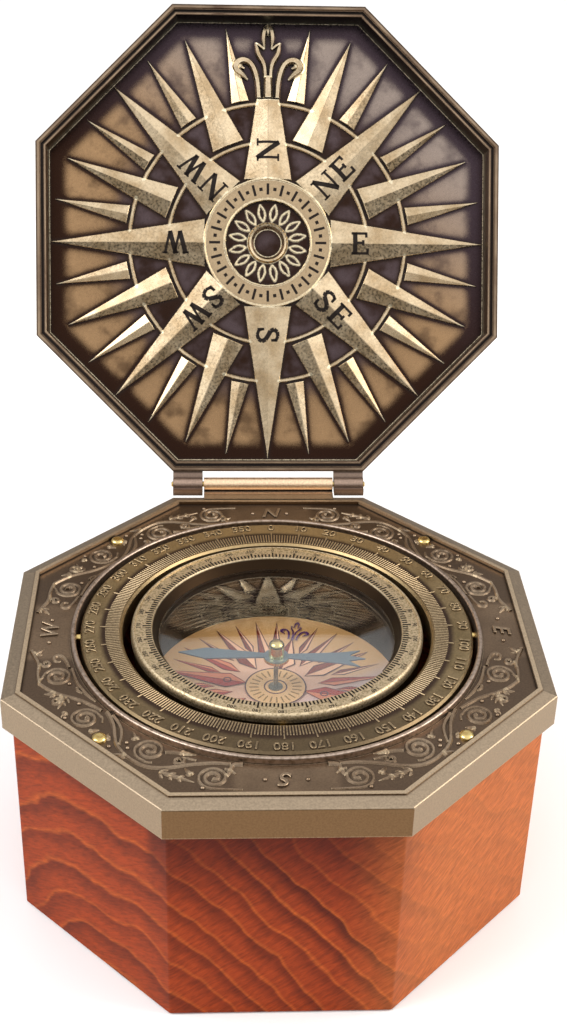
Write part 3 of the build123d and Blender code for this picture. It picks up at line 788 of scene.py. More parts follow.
# Turned brass that darkened inside the box: a dull wall that stays behind the bezel.
BOWL_BRASS = TurnedBrass("bowl_turned_brass", body="#7A6640", tarnish="#4A3A24", roughness=0.38)
# A turned and brushed scale ring: the palest band of the dial, with a dark slope down to the glass.
BEZEL_BRASS = TurnedBrass(
    "bezel_turned_brass", body="#DCC8A6", tarnish="#8E7A58", roughness=0.42, speck=0.4, dark="#33261A",
    dark_reach=23.75)
# Lead as it was cast: grey and dull.
LEAD = PlainMetal("cast_lead", body="#6E6E70", stain="#4C4C50", roughness=0.6)
# A steel post, turned: a cold glint under the needle.
STEEL = PlainMetal("turned_steel", body="#9A968E", stain="#706C64", roughness=0.3)
# Spring steel blued over heat: nearly black, so that the needle stands out on the tan card.
BLUED = PlainMetal("blued_steel", body="#20262C", stain="#181C22", roughness=0.6, metallic=0.2)
# Brass blackened in a bath: a shadow between the card and the glass.
SLEEVE = PlainMetal("blackened_sleeve", body="#2A2420", stain="#1A1614", roughness=0.45, metallic=0.4)
# Moulded rubber: a thin matt line under the glass.
RUBBER = Ink("black_rubber", tone="#17171A", faded="#202024", roughness=0.7)
# Agate, ground and polished: a deep red point in the needle's cap.
AGATE = Ink("polished_agate", tone="#8C2E36", faded="#A8525A", patch=0.4, roughness=0.1, specular=0.5)
# One block of hardwood, sawn on the slant and varnished: reddish, with rings that rise to the right.
WOOD = VarnishedWood("varnished_hardwood")
# Wool felt, pressed: a soft green edge under the wood.
FELT = Fabric("pressed_felt")
# Paper printed in washes: a warm ground that the rays and the needle stand on.
CARD = PrintedPaper("printed_card")
# Glass, moulded to a dome: clear, with the lid mirrored in its upper half.
CRYSTAL = Glass("window_glass")
# Wax pressed into engraving: flat black marks on the brass.
WAX = Ink("engraving_wax", tone="#120B08", faded="#221812", roughness=0.6)


class PrintInk(Enum):
    """The inks of the card's print, each laid on flat, which keeps the rays crisp and matt."""

    LINE = Ink("ink_brown_line", tone="#3E0E1A", faded="#5A2430")
    WINE = Ink("ink_wine_line", tone="#5A0400", faded="#74140A")
    BROWN = Ink("ink_brown", tone="#7A2414", faded="#8E3A26")
    ROSE = Ink("ink_rose", tone="#EAA684", faded="#F0BC9C")
    RED = Ink("ink_red", tone="#A01404", faded="#B22E1C")
    CLAY = Ink("ink_clay", tone="#D06A48", faded="#DC8662")
    GOLD = Ink("ink_gold", tone="#745014", faded="#94682A")
    TAN = Ink("ink_tan", tone="#D09C68", faded="#DCAE80")
    VIOLET = Ink("ink_violet", tone="#4E2258", faded="#6A4074")

    @property
    def number(self) -> int:
        """The ink's material number on the print."""
        return list(PrintInk).index(self)


def place(
    name: str,
    shape: Shape,
    body: Body,
    slot: str,
    *finishes: Finish,
    sharp: float = 35.0,
) -> bpy.types.Object:
    """Turn a shape drawn in millimetres into a piece that rides on a body.

    Args:
        name: The piece's name.
        shape: The shape, which is used up.
        body: The body that the piece moves with.
        slot: Not used; the record's material slot for its first finish.
        finishes: The piece's finishes, in the order of the shape's material numbers.
        sharp: The angle in degrees past which an edge is shaded sharp.

    Returns:
        The piece.
    """
    bmesh.ops.scale(shape, vec=(MM, MM, MM), verts=shape.verts)
    mesh = bpy.data.meshes.new(name)
    shape.to_mesh(mesh)
    shape.free()
    for polygon in mesh.polygons:
        polygon.use_smooth = True
    mesh.set_sharp_from_angle(angle=math.radians(sharp))
    for finish in finishes:
        mesh.materials.append(finish.material())
    piece = bpy.data.objects.new(name, mesh)
    bpy.context.scene.collection.objects.link(piece)
    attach(piece, body.value)
    LOG.info("placed %s with %d faces on %s", name, len(mesh.polygons), body.value)
    return piece


def absorb(shape: Shape, mesh: bpy.types.Mesh, where: Matrix, number: int = 0) -> None:
    """Add a mesh to a shape.

    Args:
        shape: The shape that grows.
        mesh: The mesh, which is used up.
        where: Where it goes.
        number: The material number for its faces.
    """
    mesh.transform(where)
    before = len(shape.faces)
    shape.from_mesh(mesh)
    shape.faces.ensure_lookup_table()
    for face in shape.faces[before:]:
        face.material_index = number
    bpy.data.meshes.remove(mesh)


@dataclass(frozen=True)
class Stroke:
    """One line of relief or print: control points in a plane, and a half width at each."""

    points: tuple[Pair, ...]
    halves: tuple[float, ...]

    def moved(self, turn: Matrix) -> "Stroke":
        """Return the stroke after a plane transform, which may mirror it."""
        points = tuple(tuple((turn @ Vector((x, y, 0.0)))[:2]) for x, y in self.points)
        return Stroke(points, self.halves)


def evened(points: Sequence[Pair], start: float, middle: float, end: float) -> Stroke:
    """Return a stroke whose half width goes from start through middle to end along its points."""
    growth, decay = 4, 2.5  # how many times faster than evenly it thickens and thins
    halves = []
    for i in range(len(points)):
        t = i / (len(points) - 1)
        if t < 0.5:
            halves.append(start + (middle - start) * min(1, growth * t))
        else:
            halves.append(end + (middle - end) * min(1, decay * (1 - t)))
    return Stroke(tuple(points), tuple(halves))


def lily(scale: float, weight: float, foot: float) -> list[Stroke]:
    """Draw a lily that points to +y: a stem that opens to a leaf, between two curled arms.

    Args:
        scale: Its size, where 1 makes it 15.4 high.
        weight: How much heavier its strokes are than drawn.
        foot: Where it starts along y.

    Returns:
        Its strokes.
    """
    strokes = [
        Stroke(((0.0, 0.0), (0.0, 2.1), (0.0, 4.5)), (0.8, 0.76, 0.62)),
        Stroke(((0.0, 13.0), (0.0, 14.0), (0.0, 15.0)), (0.16, 0.42, 0.2))]
    side = (
        Stroke(
            ((1.95, 0.0), (2.05, 2.3), (2.45, 4.6), (3.1, 6.5), (4.0, 7.6), (5.2, 8.0), (6.4, 7.5),
             (6.9, 6.5), (6.5, 5.6), (5.3, 4.9), (4.3, 3.8)),
            (0.46, 0.46, 0.5, 0.5, 0.48, 0.55, 0.66, 0.7, 0.6, 0.42, 0.18)),
        Stroke(((6.6, 7.0), (5.7, 6.4), (5.0, 6.2)), (0.5, 0.4, 0.12)),
        Stroke(
            ((0.55, 4.3), (0.62, 6.3), (1.1, 7.7), (2.05, 9.0), (2.3, 10.3), (2.65, 11.6)),
            (0.34, 0.36, 0.42, 0.44, 0.36, 0.12)),
        Stroke(((2.6, 11.5), (1.7, 11.0), (0.8, 10.2)), (0.14, 0.34, 0.16)),
        Stroke(
            ((0.72, 10.2), (0.98, 11.9), (0.95, 13.3), (0.55, 14.7), (0.0, 15.4)),
            (0.14, 0.36, 0.42, 0.4, 0.12)),
    )
    for hand in (-1, 1):
        strokes += [stroke.moved(Matrix.Diagonal((hand, 1.0, 1.0))) for stroke in side]
    return [
        Stroke(
            tuple((scale * x, foot + scale * y) for x, y in s.points),
            tuple(scale * weight * h for h in s.halves))
        for s in strokes]


def stroke_shape(strokes: Iterable[Stroke], flat: float) -> Shape:
    """Make tubes along strokes and flatten them.

    Args:
        strokes: The strokes, in millimetres.
        flat: The height of the relief as a share of its half width.

    Returns:
        A shape whose strokes lie on the plane z = 0, half above it.
    """
    curve = bpy.data.curves.new("strokes", "CURVE")
    curve.dimensions = "3D"
    curve.bevel_depth = 1.0
    curve.bevel_resolution = 1
    curve.resolution_u = 4
    curve.use_fill_caps = True
    for stroke in strokes:
        spline = curve.splines.new("NURBS")
        spline.points.add(len(stroke.points) - 1)
        for point, (x, y), half in zip(spline.points, stroke.points, stroke.halves):
            point.co = (x, y, 0.0, 1.0)
            point.radius = half
        spline.order_u = 3
        spline.use_endpoint_u = True
    holder = bpy.data.objects.new("strokes", curve)
    mesh = bpy.data.meshes.new_from_object(holder)
    bpy.data.objects.remove(holder)
    bpy.data.curves.remove(curve)
    shape = bmesh.new()
    absorb(shape, mesh, Matrix.Diagonal((1.0, 1.0, flat, 1.0)))
    bmesh.ops.remove_doubles(shape, verts=shape.verts, dist=0.001)
    bmesh.ops.recalc_face_normals(shape, faces=shape.faces)
    return shape


def lettering(text: str, size: float, depth: float, bevel: float = 0.0, shear: float = 0.0) -> bpy.types.Mesh:
    """Make raised characters, centred on the origin in the plane z = 0.

    Args:
        text: The characters.
        size: The font size in millimetres.
        depth: Half the thickness.
        bevel: The rounding of the edges.
        shear: How far the characters lean.

    Returns:
        A mesh of them.
    """
    curve = bpy.data.curves.new("lettering", "FONT")
    curve.body = text
    curve.size = size
    curve.extrude = depth
    curve.bevel_depth = bevel
    curve.bevel_resolution = 0
    curve.resolution_u = 3
    curve.shear = shear
    curve.align_x = "CENTER"
    curve.align_y = "CENTER"
    holder = bpy.data.objects.new("lettering", curve)
    mesh = bpy.data.meshes.new_from_object(holder)
    bpy.data.objects.remove(holder)
    bpy.data.curves.remove(curve)
    return mesh


def bar(
    shape: Shape, start: float, end: float, width: float, height: float, angle: float,
    bevel: float = 0.0,
) -> None:
    """Add a straight radial bar that stands on the plane z = 0.

    Args:
        shape: The shape that grows.
        start: Its inner radius.
        end: Its outer radius.
        width: Its width.
        height: Its height.
        angle: Its direction in degrees, clockwise from +Y.
        bevel: The width of the bevel on its edges.
    """
    made = bmesh.ops.create_cube(shape, size=1.0)["verts"]
    bmesh.ops.scale(shape, vec=(width, end - start, height), verts=made)
    bmesh.ops.translate(shape, vec=(0.0, (start + end) / 2, 0.0), verts=made)
    bmesh.ops.rotate(shape, cent=(0, 0, 0), matrix=Matrix.Rotation(-math.radians(angle), 3, "Z"), verts=made)
    if bevel:
        edges = {edge for vert in made for edge in vert.link_edges}
        bmesh.ops.bevel(
            shape, geom=list(edges), offset=bevel, segments=1, profile=0.5, affect="EDGES", material=-1)


def around(shape: Shape, copies: int) -> None:
    """Repeat everything in a shape evenly round the upright axis.

    Args:
        shape: The shape that is repeated.
        copies: How many there are in all.
    """
    bmesh.ops.spin(
        shape, geom=shape.verts[:] + shape.edges[:] + shape.faces[:], cent=(0, 0, 0), axis=(0, 0, 1),
        angle=math.tau * (copies - 1) / copies, steps=copies - 1, use_duplicate=True)


def spun(shape: Shape, profile: Sequence[Pair], steps: int = 96, start: float = 0.0) -> None:
    """Turn a profile round the upright axis. It is closed unless both its ends lie on the axis.

    Args:
        shape: The shape that grows.
        profile: Its corners, each a radius and a height.
        steps: How many sides the ring has.
        start: Where the first side begins, in degrees.
    """
    heading = math.radians(start)
    verts = [shape.verts.new((r * math.cos(heading), r * math.sin(heading), z)) for r, z in profile]
    edges = [shape.edges.new(pair) for pair in zip(verts, verts[1:])]
    if profile[0][0] > 0 or profile[-1][0] > 0:
        edges.append(shape.edges.new((verts[-1], verts[0])))
    bmesh.ops.spin(
        shape, geom=verts + edges, cent=(0, 0, 0), axis=(0, 0, 1), angle=math.tau, steps=steps,
        use_merge=True)


def arc(radius: float, centre: float, reach: float, steps: int = 12) -> list[Pair]:
    """Draw half the profile of a dome, from the axis outward.

    Args:
        radius: The dome's radius of curvature.
        centre: The height of its centre.
        reach: The distance from the axis where it ends.
        steps: How many parts it has.

    Returns:
        Its points, each a distance from the axis and a height.
    """
    sweep = math.asin(reach / radius) / steps
    return [(radius * math.sin(sweep * i), centre + radius * math.cos(sweep * i)) for i in range(steps + 1)]


def bead(radius: float, half: float, low: float, high: float) -> list[Pair]:
    """Return the profile of a rounded bead that stands on a face."""
    shoulder = low + (high - low) * 0.6
    return [
        (radius - half, low), (radius - half, shoulder), (radius - half * 0.5, high),
        (radius + half * 0.5, high), (radius + half, shoulder), (radius + half, low)]


def join(shape: Shape, other: Shape, number: int = 0) -> None:
    """Add a shape, which is used up, to another one, with a material number for its faces."""
    mesh = bpy.data.meshes.new("joined")
    other.to_mesh(mesh)
    other.free()
    absorb(shape, mesh, Matrix(), number)


def slat(shape: Shape, start: Pair, end: Pair, half: float, where: Matrix, cell: float = 0.35) -> None:
    """Add a flat strip, cut into cells so that it can follow a bent surface.

    Args:
        shape: The shape that grows.
        start: The middle of its first end.
        end: The middle of its last end.
        half: Half its width.
        where: Where it goes.
        cell: The size of a cell.
    """
    first, last = Vector((*start, 0.0)), Vector((*end, 0.0))
    way = last - first
    cuts = (max(1, round(way.length / cell)), max(1, round(2 * half / cell)))
    made = bmesh.ops.create_grid(shape, x_segments=cuts[0], y_segments=cuts[1], size=0.5)["verts"]
    place_there = (
        where @ Matrix.Translation((first + last) / 2) @ Matrix.Rotation(math.atan2(way.y, way.x), 4, "Z")
        @ Matrix.Diagonal((way.length, 2 * half, 1.0, 1.0)))
    bmesh.ops.transform(shape, matrix=place_there, verts=made)


@dataclass(frozen=True)
class Glyph:
    """A serif capital, one unit high: its strokes, each with its ends and half width, and its breadth."""

    strokes: tuple[tuple[float, float, float, float, float], ...]
    breadth: float

    def draw(self, shape: Shape, size: float, where: Matrix) -> None:
        """Add the letter's strips to a shape.

        Args:
            shape: The shape that grows.
            size: The letter's height.
            where: The place of its foot's left end.
        """
        for x0, y0, x1, y1, half in self.strokes:
            slat(shape, (x0 * size, y0 * size), (x1 * size, y1 * size), half * size, where)


THICK, THIN, SERIF = 0.1, 0.055, 0.04  # half widths of a capital's strokes, as shares of its height
SWELL = 0.045  # how much the middle of the curved letter is thicker than its ends
LETTER_GAP = 0.12  # the space between letters
CURVE_S = (
    (0.62, 0.72), (0.6, 0.88), (0.44, 0.96), (0.24, 0.93), (0.13, 0.79), (0.2, 0.63), (0.4, 0.52),
    (0.58, 0.4), (0.66, 0.24), (0.56, 0.09), (0.36, 0.03), (0.17, 0.1), (0.12, 0.28))
GLYPHS = {
    "N": Glyph((
        (0.16, 0.0, 0.16, 1.0, THIN), (0.84, 0.0, 0.84, 1.0, THIN), (0.14, 1.0, 0.84, 0.0, THICK),
        (0.0, SERIF, 0.32, SERIF, SERIF), (0.0, 1 - SERIF, 0.2, 1 - SERIF, SERIF),
        (0.68, 1 - SERIF, 1.0, 1 - SERIF, SERIF)), 1.0),
    "E": Glyph((
        (0.2, 0.0, 0.2, 1.0, THICK), (0.04, 1 - THIN, 0.7, 1 - THIN, THIN), (0.04, THIN, 0.76, THIN, THIN),
        (0.2, 0.52, 0.56, 0.52, THIN), (0.7, 0.76, 0.7, 1.0, THIN), (0.56, 0.4, 0.56, 0.64, THIN),
        (0.76, 0.0, 0.76, 0.28, THIN)), 0.8),
    "S": Glyph(
        tuple(
            (*a, *b, THIN + SWELL * math.sin(math.pi * i / 11))
            for i, (a, b) in enumerate(zip(CURVE_S, CURVE_S[1:])))
        + ((0.62, 0.66, 0.62, 0.94, THIN), (0.12, 0.04, 0.12, 0.34, THIN)), 0.78),
    "W": Glyph((
        (0.14, 1.0, 0.4, 0.0, THICK), (0.4, 0.0, 0.62, 0.92, THIN), (0.58, 1.0, 0.84, 0.0, THICK),
        (0.84, 0.0, 1.06, 1.0, THIN), (0.0, 1 - SERIF, 0.28, 1 - SERIF, SERIF),
        (0.46, 1 - SERIF, 0.72, 1 - SERIF, SERIF), (0.94, 1 - SERIF, 1.18, 1 - SERIF, SERIF)), 1.18),
}


def spell(shape: Shape, text: str, size: float, where: Matrix) -> None:
    """Add serif capitals in a row, centred on the origin.

    Args:
        shape: The shape that grows.
        text: The letters.
        size: Their height.
        where: The place of the row's middle.
    """
    glyphs = [GLYPHS[letter] for letter in text]
    left = -(sum(g.breadth for g in glyphs) + LETTER_GAP * (len(glyphs) - 1)) * size / 2
    for glyph in glyphs:
        glyph.draw(shape, size, where @ Matrix.Translation((left, -size / 2, 0.0)))
        left += (glyph.breadth + LETTER_GAP) * size


def lifted(shape: Shape, height: float) -> Shape:
    """Raise a shape and return it."""
    bmesh.ops.translate(shape, vec=(0.0, 0.0, height), verts=shape.verts)
    return shape


def dial_turn(angle: float, radius: float, height: float) -> Matrix:
    """Return the place of a mark on a dial, its top outward.

    Args:
        angle: The mark's direction in degrees, clockwise from +Y.
        radius: Its distance from the middle.
        height: Its height.

    Returns:
        The transform of a mark drawn at the origin.
    """
    return Matrix.Rotation(-math.radians(angle), 4, "Z") @ Matrix.Translation((0.0, radius, height))


@dataclass
class Stage:
    """The floor, the light and the camera of the photograph."""

    camera_at: Triple = (-12.87, -244.62, 224.35)
    yaw: float = 3.29  # degrees to the right of +Y
    pitch: float = 31.07  # degrees below level
    roll: float = 1.66
    focal: float = 1575.7  # in the photograph's pixels
    centre: Pair = (286.8, 510.5)  # the lens axis, in the photograph's pixels
    sensor: float = 36.0
    floor_size: float = 3000.0
    sky: str = "#E4E4E4"
    window: str = "#FFFFFF"  # to the right
    window_span: Pair = (-0.2, 0.6)  # the ray's X between which it comes in
    gloom: str = "#303030"  # low in front
    gloom_span: Pair = (-0.1, -0.6)  # the ray's Y between which it comes in
    gloom_foot: float = 0.15  # sine of the height below which the front is darkest
    gloom_top: float = 0.5  # sine of the height above which it is as light as the rest
    backdrop: str = "#8E8E90"  # behind the box
    backdrop_span: Pair = (0.1, 0.6)  # the ray's Y between which it comes in
    backdrop_foot: float = 0.4
    backdrop_top: float = 0.8
    sky_strength: float = 1.25
    lamps: tuple[tuple[str, Triple, float, float, str], ...] = (
        ("key", (-420.0, -120.0, 520.0), 380.0, 2.2, "#FFFFFF"),
        ("fill", (480.0, -60.0, 380.0), 300.0, 1.6, "#FFF8EE"))  # names, places, sizes, powers and tones
    aim: Triple = (0.0, 0.0, 50.0)  # where the lamps face

    def set_camera(self) -> None:
        """Put the camera where the photograph was taken from."""
        data = bpy.data.cameras.new("camera")
        width, height = PHOTO_SIZE
        data.sensor_fit = "VERTICAL"
        data.sensor_height = self.sensor
        data.lens = self.focal / height * self.sensor
        data.shift_x = (width / 2 - self.centre[0]) / height
        data.shift_y = (self.centre[1] - height / 2) / height
        data.clip_start = 0.01
        camera = bpy.data.objects.new("camera", data)
        turn = (
            Matrix.Rotation(-math.radians(self.yaw), 4, "Z")
            @ Matrix.Rotation(math.radians(90 - self.pitch), 4, "X")
            @ Matrix.Rotation(math.radians(self.roll), 4, "Z")
        )
        camera.matrix_world = Matrix.Translation(Vector(self.camera_at) * MM) @ turn
        bpy.context.scene.collection.objects.link(camera)
        bpy.context.scene.camera = camera

    def add_lamp(self, name: str, at: Sequence[float], size: float, power: float, tone: str) -> None:
        """Add a square soft light that faces the box.

        Args:
            name: The lamp's name.
            at: Its place in millimetres.
            size: The side of its square in millimetres.
            power: Its power in watts.
            tone: Its colour.
        """
        data = bpy.data.lights.new(name, "AREA")
        data.size = size * MM
        data.energy = power
        data.color = linear(tone)[:3]
        lamp = bpy.data.objects.new(name, data)
        spot = Vector(at) * MM
        aim = Vector(self.aim) * MM - spot
        lamp.matrix_world = Matrix.Translation(spot) @ aim.to_track_quat("-Z", "Y").to_matrix().to_4x4()
        bpy.context.scene.collection.objects.link(lamp)

    def set_sky(self) -> None:
        """Surround the box with white, dim and low in front, as behind a photographer."""
        world = bpy.data.worlds.new("studio")
        world.use_nodes = True
        tree = world.node_tree
        tree.nodes.clear()
        coords = add_node(tree, "ShaderNodeTexCoord").outputs["Generated"]
        x, y, z = add_node(tree, "ShaderNodeSeparateXYZ", links={0: coords}).outputs
        window = tint(tree, self.sky, self.window, (x, *self.window_span))
        behind = tint(
            tree, window, self.backdrop, (z, self.backdrop_top, self.backdrop_foot),
            (y, *self.backdrop_span))
        lit = tint(tree, behind, self.gloom, (z, self.gloom_top, self.gloom_foot), (y, *self.gloom_span))
        seen = add_node(tree, "ShaderNodeLightPath").outputs["Is Camera Ray"]
        colour = tint(tree, lit, self.sky, (seen, 0.0, 1.0))
        backing = add_node(tree, "ShaderNodeBackground", {"Strength": self.sky_strength}, {"Color": colour})
        add_node(tree, "ShaderNodeOutputWorld", links={"Surface": backing.outputs[0]})
        bpy.context.scene.world = world
        bpy.context.scene.view_settings.view_transform = "Standard"

    def lay_floor(self) -> None:
        """Lay the floor under the box."""
        shape = bmesh.new()
        bmesh.ops.create_grid(shape, x_segments=1, y_segments=1, size=self.floor_size / 2)
        bmesh.ops.scale(shape, vec=(MM, MM, MM), verts=shape.verts)
        mesh = bpy.data.meshes.new("floor")
        shape.to_mesh(mesh)
        shape.free()
        mesh.materials.append(FloorPaint("studio_floor").material())
        floor = bpy.data.objects.new("floor", mesh)
        bpy.context.scene.collection.objects.link(floor)

    def build(self) -> None:
        """Set up the whole stage."""
        self.set_camera()
        self.set_sky()
        self.lay_floor()
        for lamp in self.lamps:
            self.add_lamp(*lamp)


@dataclass
class WoodenCase:
    """The block and its felt."""

    def build(self) -> None:
        """Dress the block and the felt."""
        WOOD.dress("wooden_case")
        FELT.dress("base_felt")


@dataclass
class Deck:
    """The cast deck cap: its scrollwork, its letters and its pins."""

    field_top: float = 50.0
    line: float = 0.37  # half width of a scroll's line
    lobe: float = 0.6  # half width of a leaf's lobe
    berry: float = 0.42
    relief: float = 0.9
    curl: float = 0.8  # how fast a spiral closes in, where 1 is evenly
    eye: float = 0.14  # the radius of a spiral's eye, as a share of its own
    letter_radius: float = 42.8
    letter_size: float = 4.6
    letter_height: float = 0.32
    letter_bevel: float = 0.08
    letter_lean: float = 0.25
    dot_reach: float = 3.6  # from a letter's middle to the dots beside it
    leaves: tuple[tuple[Pair, Pair, int, float], ...] = (
        ((27.6, 45.9), (19.6, 45.9), 3, 1.5), ((21.0, 44.4), (23.2, 43.2), 1, 0.9),
        ((43.6, 44.4), (45.0, 42.9), 2, 0.9), ((48.4, 45.0), (47.4, 43.4), 1, 0.8),
        ((57.2, 45.2), (56.4, 46.6), 1, 0.8), ((26.4, 39.8), (22.6, 39.3), 1, 0.9),
        ((38.4, 41.0), (41.2, 39.6), 1, 1.0), ((62.4, 43.5), (59.4, 46.0), 2, 1.7),
        ((64.4, 44.7), (65.6, 46.5), 1, 1.2), ((80.6, 45.6), (82.6, 43.9), 1, 1.2),
        ((36.6, 45.4), (39.4, 46.4), 1, 0.9))  # the roots, tips, lobes and spreads of a quarter's leaves
    berries: tuple[Pair, ...] = (
        (38.0, 43.6), (41.6, 45.3), (39.4, 42.6), (58.4, 42.2), (66.8, 41.4), (17.4, 46.9), (55.6, 46.2))

    def spot(self, angle: float, radius: float) -> Pair:
        """Return a point of the front left quarter, its angle in degrees from the front axis."""
        return (-radius * math.sin(math.radians(angle)), -radius * math.cos(math.radians(angle)))

    def volute(
        self, angle: float, radius: float, size: float, start: float, turns: float,
        lead: Sequence[Pair] = (),
    ) -> Stroke:
        """Draw a spiral that winds into its eye.

        Args:
            angle: The eye's angle from the front axis.
            radius: The eye's distance from the middle of the deck.
            size: The spiral's outer radius.
            start: Where it starts, in degrees from the outward direction towards growing angles.
            turns: How many turns it makes, below 0 for the other hand.
            lead: Polar points of the stem that leads into it.

        Returns:
            The stroke.
        """
        out = Vector(self.spot(angle, 1.0))
        along = Vector((out.y, -out.x))
        eye = Vector(self.spot(angle, radius))
        steps = max(8, round(abs(turns) * 10))
        points = [self.spot(a, r) for a, r in lead]
        for i in range(steps + 1):
            t = i / steps
            reach = size * (1 - t) ** self.curl * (1 - self.eye) + size * self.eye
            turn = math.radians(start + 360 * turns * t)
            point = eye + out * (reach * math.cos(turn)) + along * (reach * math.sin(turn))
            points.append((point.x, point.y))
        return evened(points, self.line * 0.6, self.line, self.line * 1.35)

    def stem(self, *spots: Pair, start: float = 0.5, end: float = 0.5) -> Stroke:
        """Draw a stem through polar points, its ends thinned to shares of its line."""
        points = [self.spot(a, r) for a, r in spots]
        return evened(points, self.line * start, self.line * 1.1, self.line * end)

    def leaf(self, root: Pair, tip: Pair, lobes: int, spread: float) -> list[Stroke]:
        """Draw a leaf: a rib with lobes that fan out on both its sides.

        Args:
            root: The polar point where it grows.
            tip: The polar point where it ends.
            lobes: How many lobes it has on each side.
            spread: The length of its longest lobe.

        Returns:
            Its strokes.
        """
        foot, end = Vector(self.spot(*root)), Vector(self.spot(*tip))
        axis = end - foot
        side = Vector((-axis.y, axis.x)).normalized()
        strokes = [Stroke((tuple(foot), tuple((foot + end) / 2), tuple(end)), (self.line, self.lobe, 0.08))]
        for i in range(lobes):
            base = foot + axis * (i / (lobes + 0.6))
            length = spread * (1 - 0.5 * i / lobes)
            for hand in (1, -1):
                ahead = axis.normalized() * length * 0.75 + side * (hand * length * 0.75)
                bulge = base + ahead * 0.5 + side * (hand * length * 0.16)
                strokes.append(
                    Stroke((tuple(base), tuple(bulge), tuple(base + ahead)), (0.15, self.lobe, 0.1)))
        return strokes

    def quarter(self) -> list[Stroke]:
        """Draw the scrolls of the front left quarter."""
        strokes = [
            self.volute(16.1, 43.9, 2.8, 0.0, 2.0, lead=((9.2, 45.8), (12.6, 46.2))),
            self.volute(33.4, 41.9, 2.9, -20.0, 2.1, lead=((30.6, 44.3), (32.0, 44.9))),
            self.volute(52.9, 43.5, 2.8, 205.0, -2.1, lead=((49.0, 41.8), (50.4, 40.8))),
            self.volute(70.6, 42.8, 2.7, 15.0, 2.0, lead=((69.4, 46.5), (71.0, 46.0))),
            self.volute(25.6, 41.9, 1.1, 180.0, 1.2, lead=((21.8, 40.6),)),
            self.volute(61.6, 45.3, 1.1, 200.0, -1.2, lead=((63.6, 43.9),)),
            self.volute(76.6, 44.0, 1.0, 30.0, -1.2, lead=((74.6, 45.6),)),
            self.stem(
                (13.6, 43.0), (12.8, 41.7), (13.2, 40.4), (12.4, 39.7), (10.6, 39.5), start=1.0, end=1.4),
            self.stem((14.4, 41.4), (12.9, 41.3), (11.6, 42.1), start=1.0),
            self.stem(
                (51.4, 39.4), (46.9, 40.4), (43.4, 42.5), (40.5, 44.3), (36.3, 45.5), (31.5, 46.0),
                (28.4, 45.1), (25.5, 43.7), (22.9, 42.1), (19.6, 40.9), (16.6, 40.0), (13.4, 39.8),
                start=1.3, end=0.9),
            self.stem((49.2, 39.3), (45.3, 39.9), (42.0, 41.6), (40.2, 43.9), start=1.4, end=0.9),
            self.stem((29.8, 41.0), (28.0, 40.2), (25.6, 39.9), (23.6, 39.6), start=1.0),
            self.stem(
                (82.3, 46.2), (79.6, 45.7), (76.5, 45.2), (73.0, 46.1), (69.6, 46.4), start=1.2, end=1.0),
            self.stem(
                (69.6, 46.4), (65.8, 45.2), (63.0, 43.6), (60.6, 42.0), (57.3, 40.7), (52.9, 39.9), start=1.0,
                end=1.0),
            self.stem(
                (73.4, 40.1), (76.8, 40.2), (79.7, 41.1), (78.6, 42.5), (76.4, 42.1), (76.8, 41.3),
                start=1.0),
            self.stem((72.6, 39.7), (67.3, 40.1), (63.5, 40.0), (59.5, 39.7), (57.0, 39.4), start=1.0),
            self.stem((64.4, 40.6), (63.2, 40.9), (61.9, 40.3), start=1.0),
        ]
        for root, tip, lobes, spread in self.leaves:
            strokes += self.leaf(root, tip, lobes, spread)
        return strokes

    def add_scrolls(self) -> None:
        """Raise the scrolls in all four quarters, with berries between them."""
        quarter = self.quarter()
        mirrors = [Matrix.Diagonal((x, y, 1.0)) for x in (1, -1) for y in (1, -1)]
        shape = stroke_shape([stroke.moved(mirror) for mirror in mirrors for stroke in quarter], self.relief)
        for mirror in mirrors:
            for berry in self.berries:
                made = bmesh.ops.create_uvsphere(
                    shape, u_segments=8, v_segments=6, radius=self.berry)["verts"]
                bmesh.ops.translate(shape, vec=mirror @ Vector((*self.spot(*berry), 0.0)), verts=made)
        place("deck_scrolls", lifted(shape, self.field_top), Body.CASE, "deck_bronze", RELIEF_BRONZE)

    def add_letters(self) -> None:
        """Raise the four plain letters in their bare fields, tops outward."""
        shape = bmesh.new()
        for turn, text in enumerate("NESW"):
            where = dial_turn(90.0 * turn, self.letter_radius, self.field_top)
            letter = lettering(
                text, self.letter_size, self.letter_height, self.letter_bevel, self.letter_lean)
            absorb(shape, letter, where)
            for hand in (-1, 1):
                made = bmesh.ops.create_uvsphere(
                    shape, u_segments=10, v_segments=6, radius=self.berry)["verts"]
                bmesh.ops.translate(
                    shape, vec=where @ Vector((self.dot_reach * hand, 0, 0)), verts=made)
        place("deck_letters", shape, Body.CASE, "deck_bronze", RELIEF_BRONZE)

    def build(self) -> None:
        """Dress the deck and add its relief."""
        DECK_BRONZE.dress("deck_plate")
        BRIGHT_BRASS.dress("deck_pins", "outer_pivots", "hinge_pin")
        LINER_BRASS.dress("well_liner")
        self.add_scrolls()
        self.add_letters()


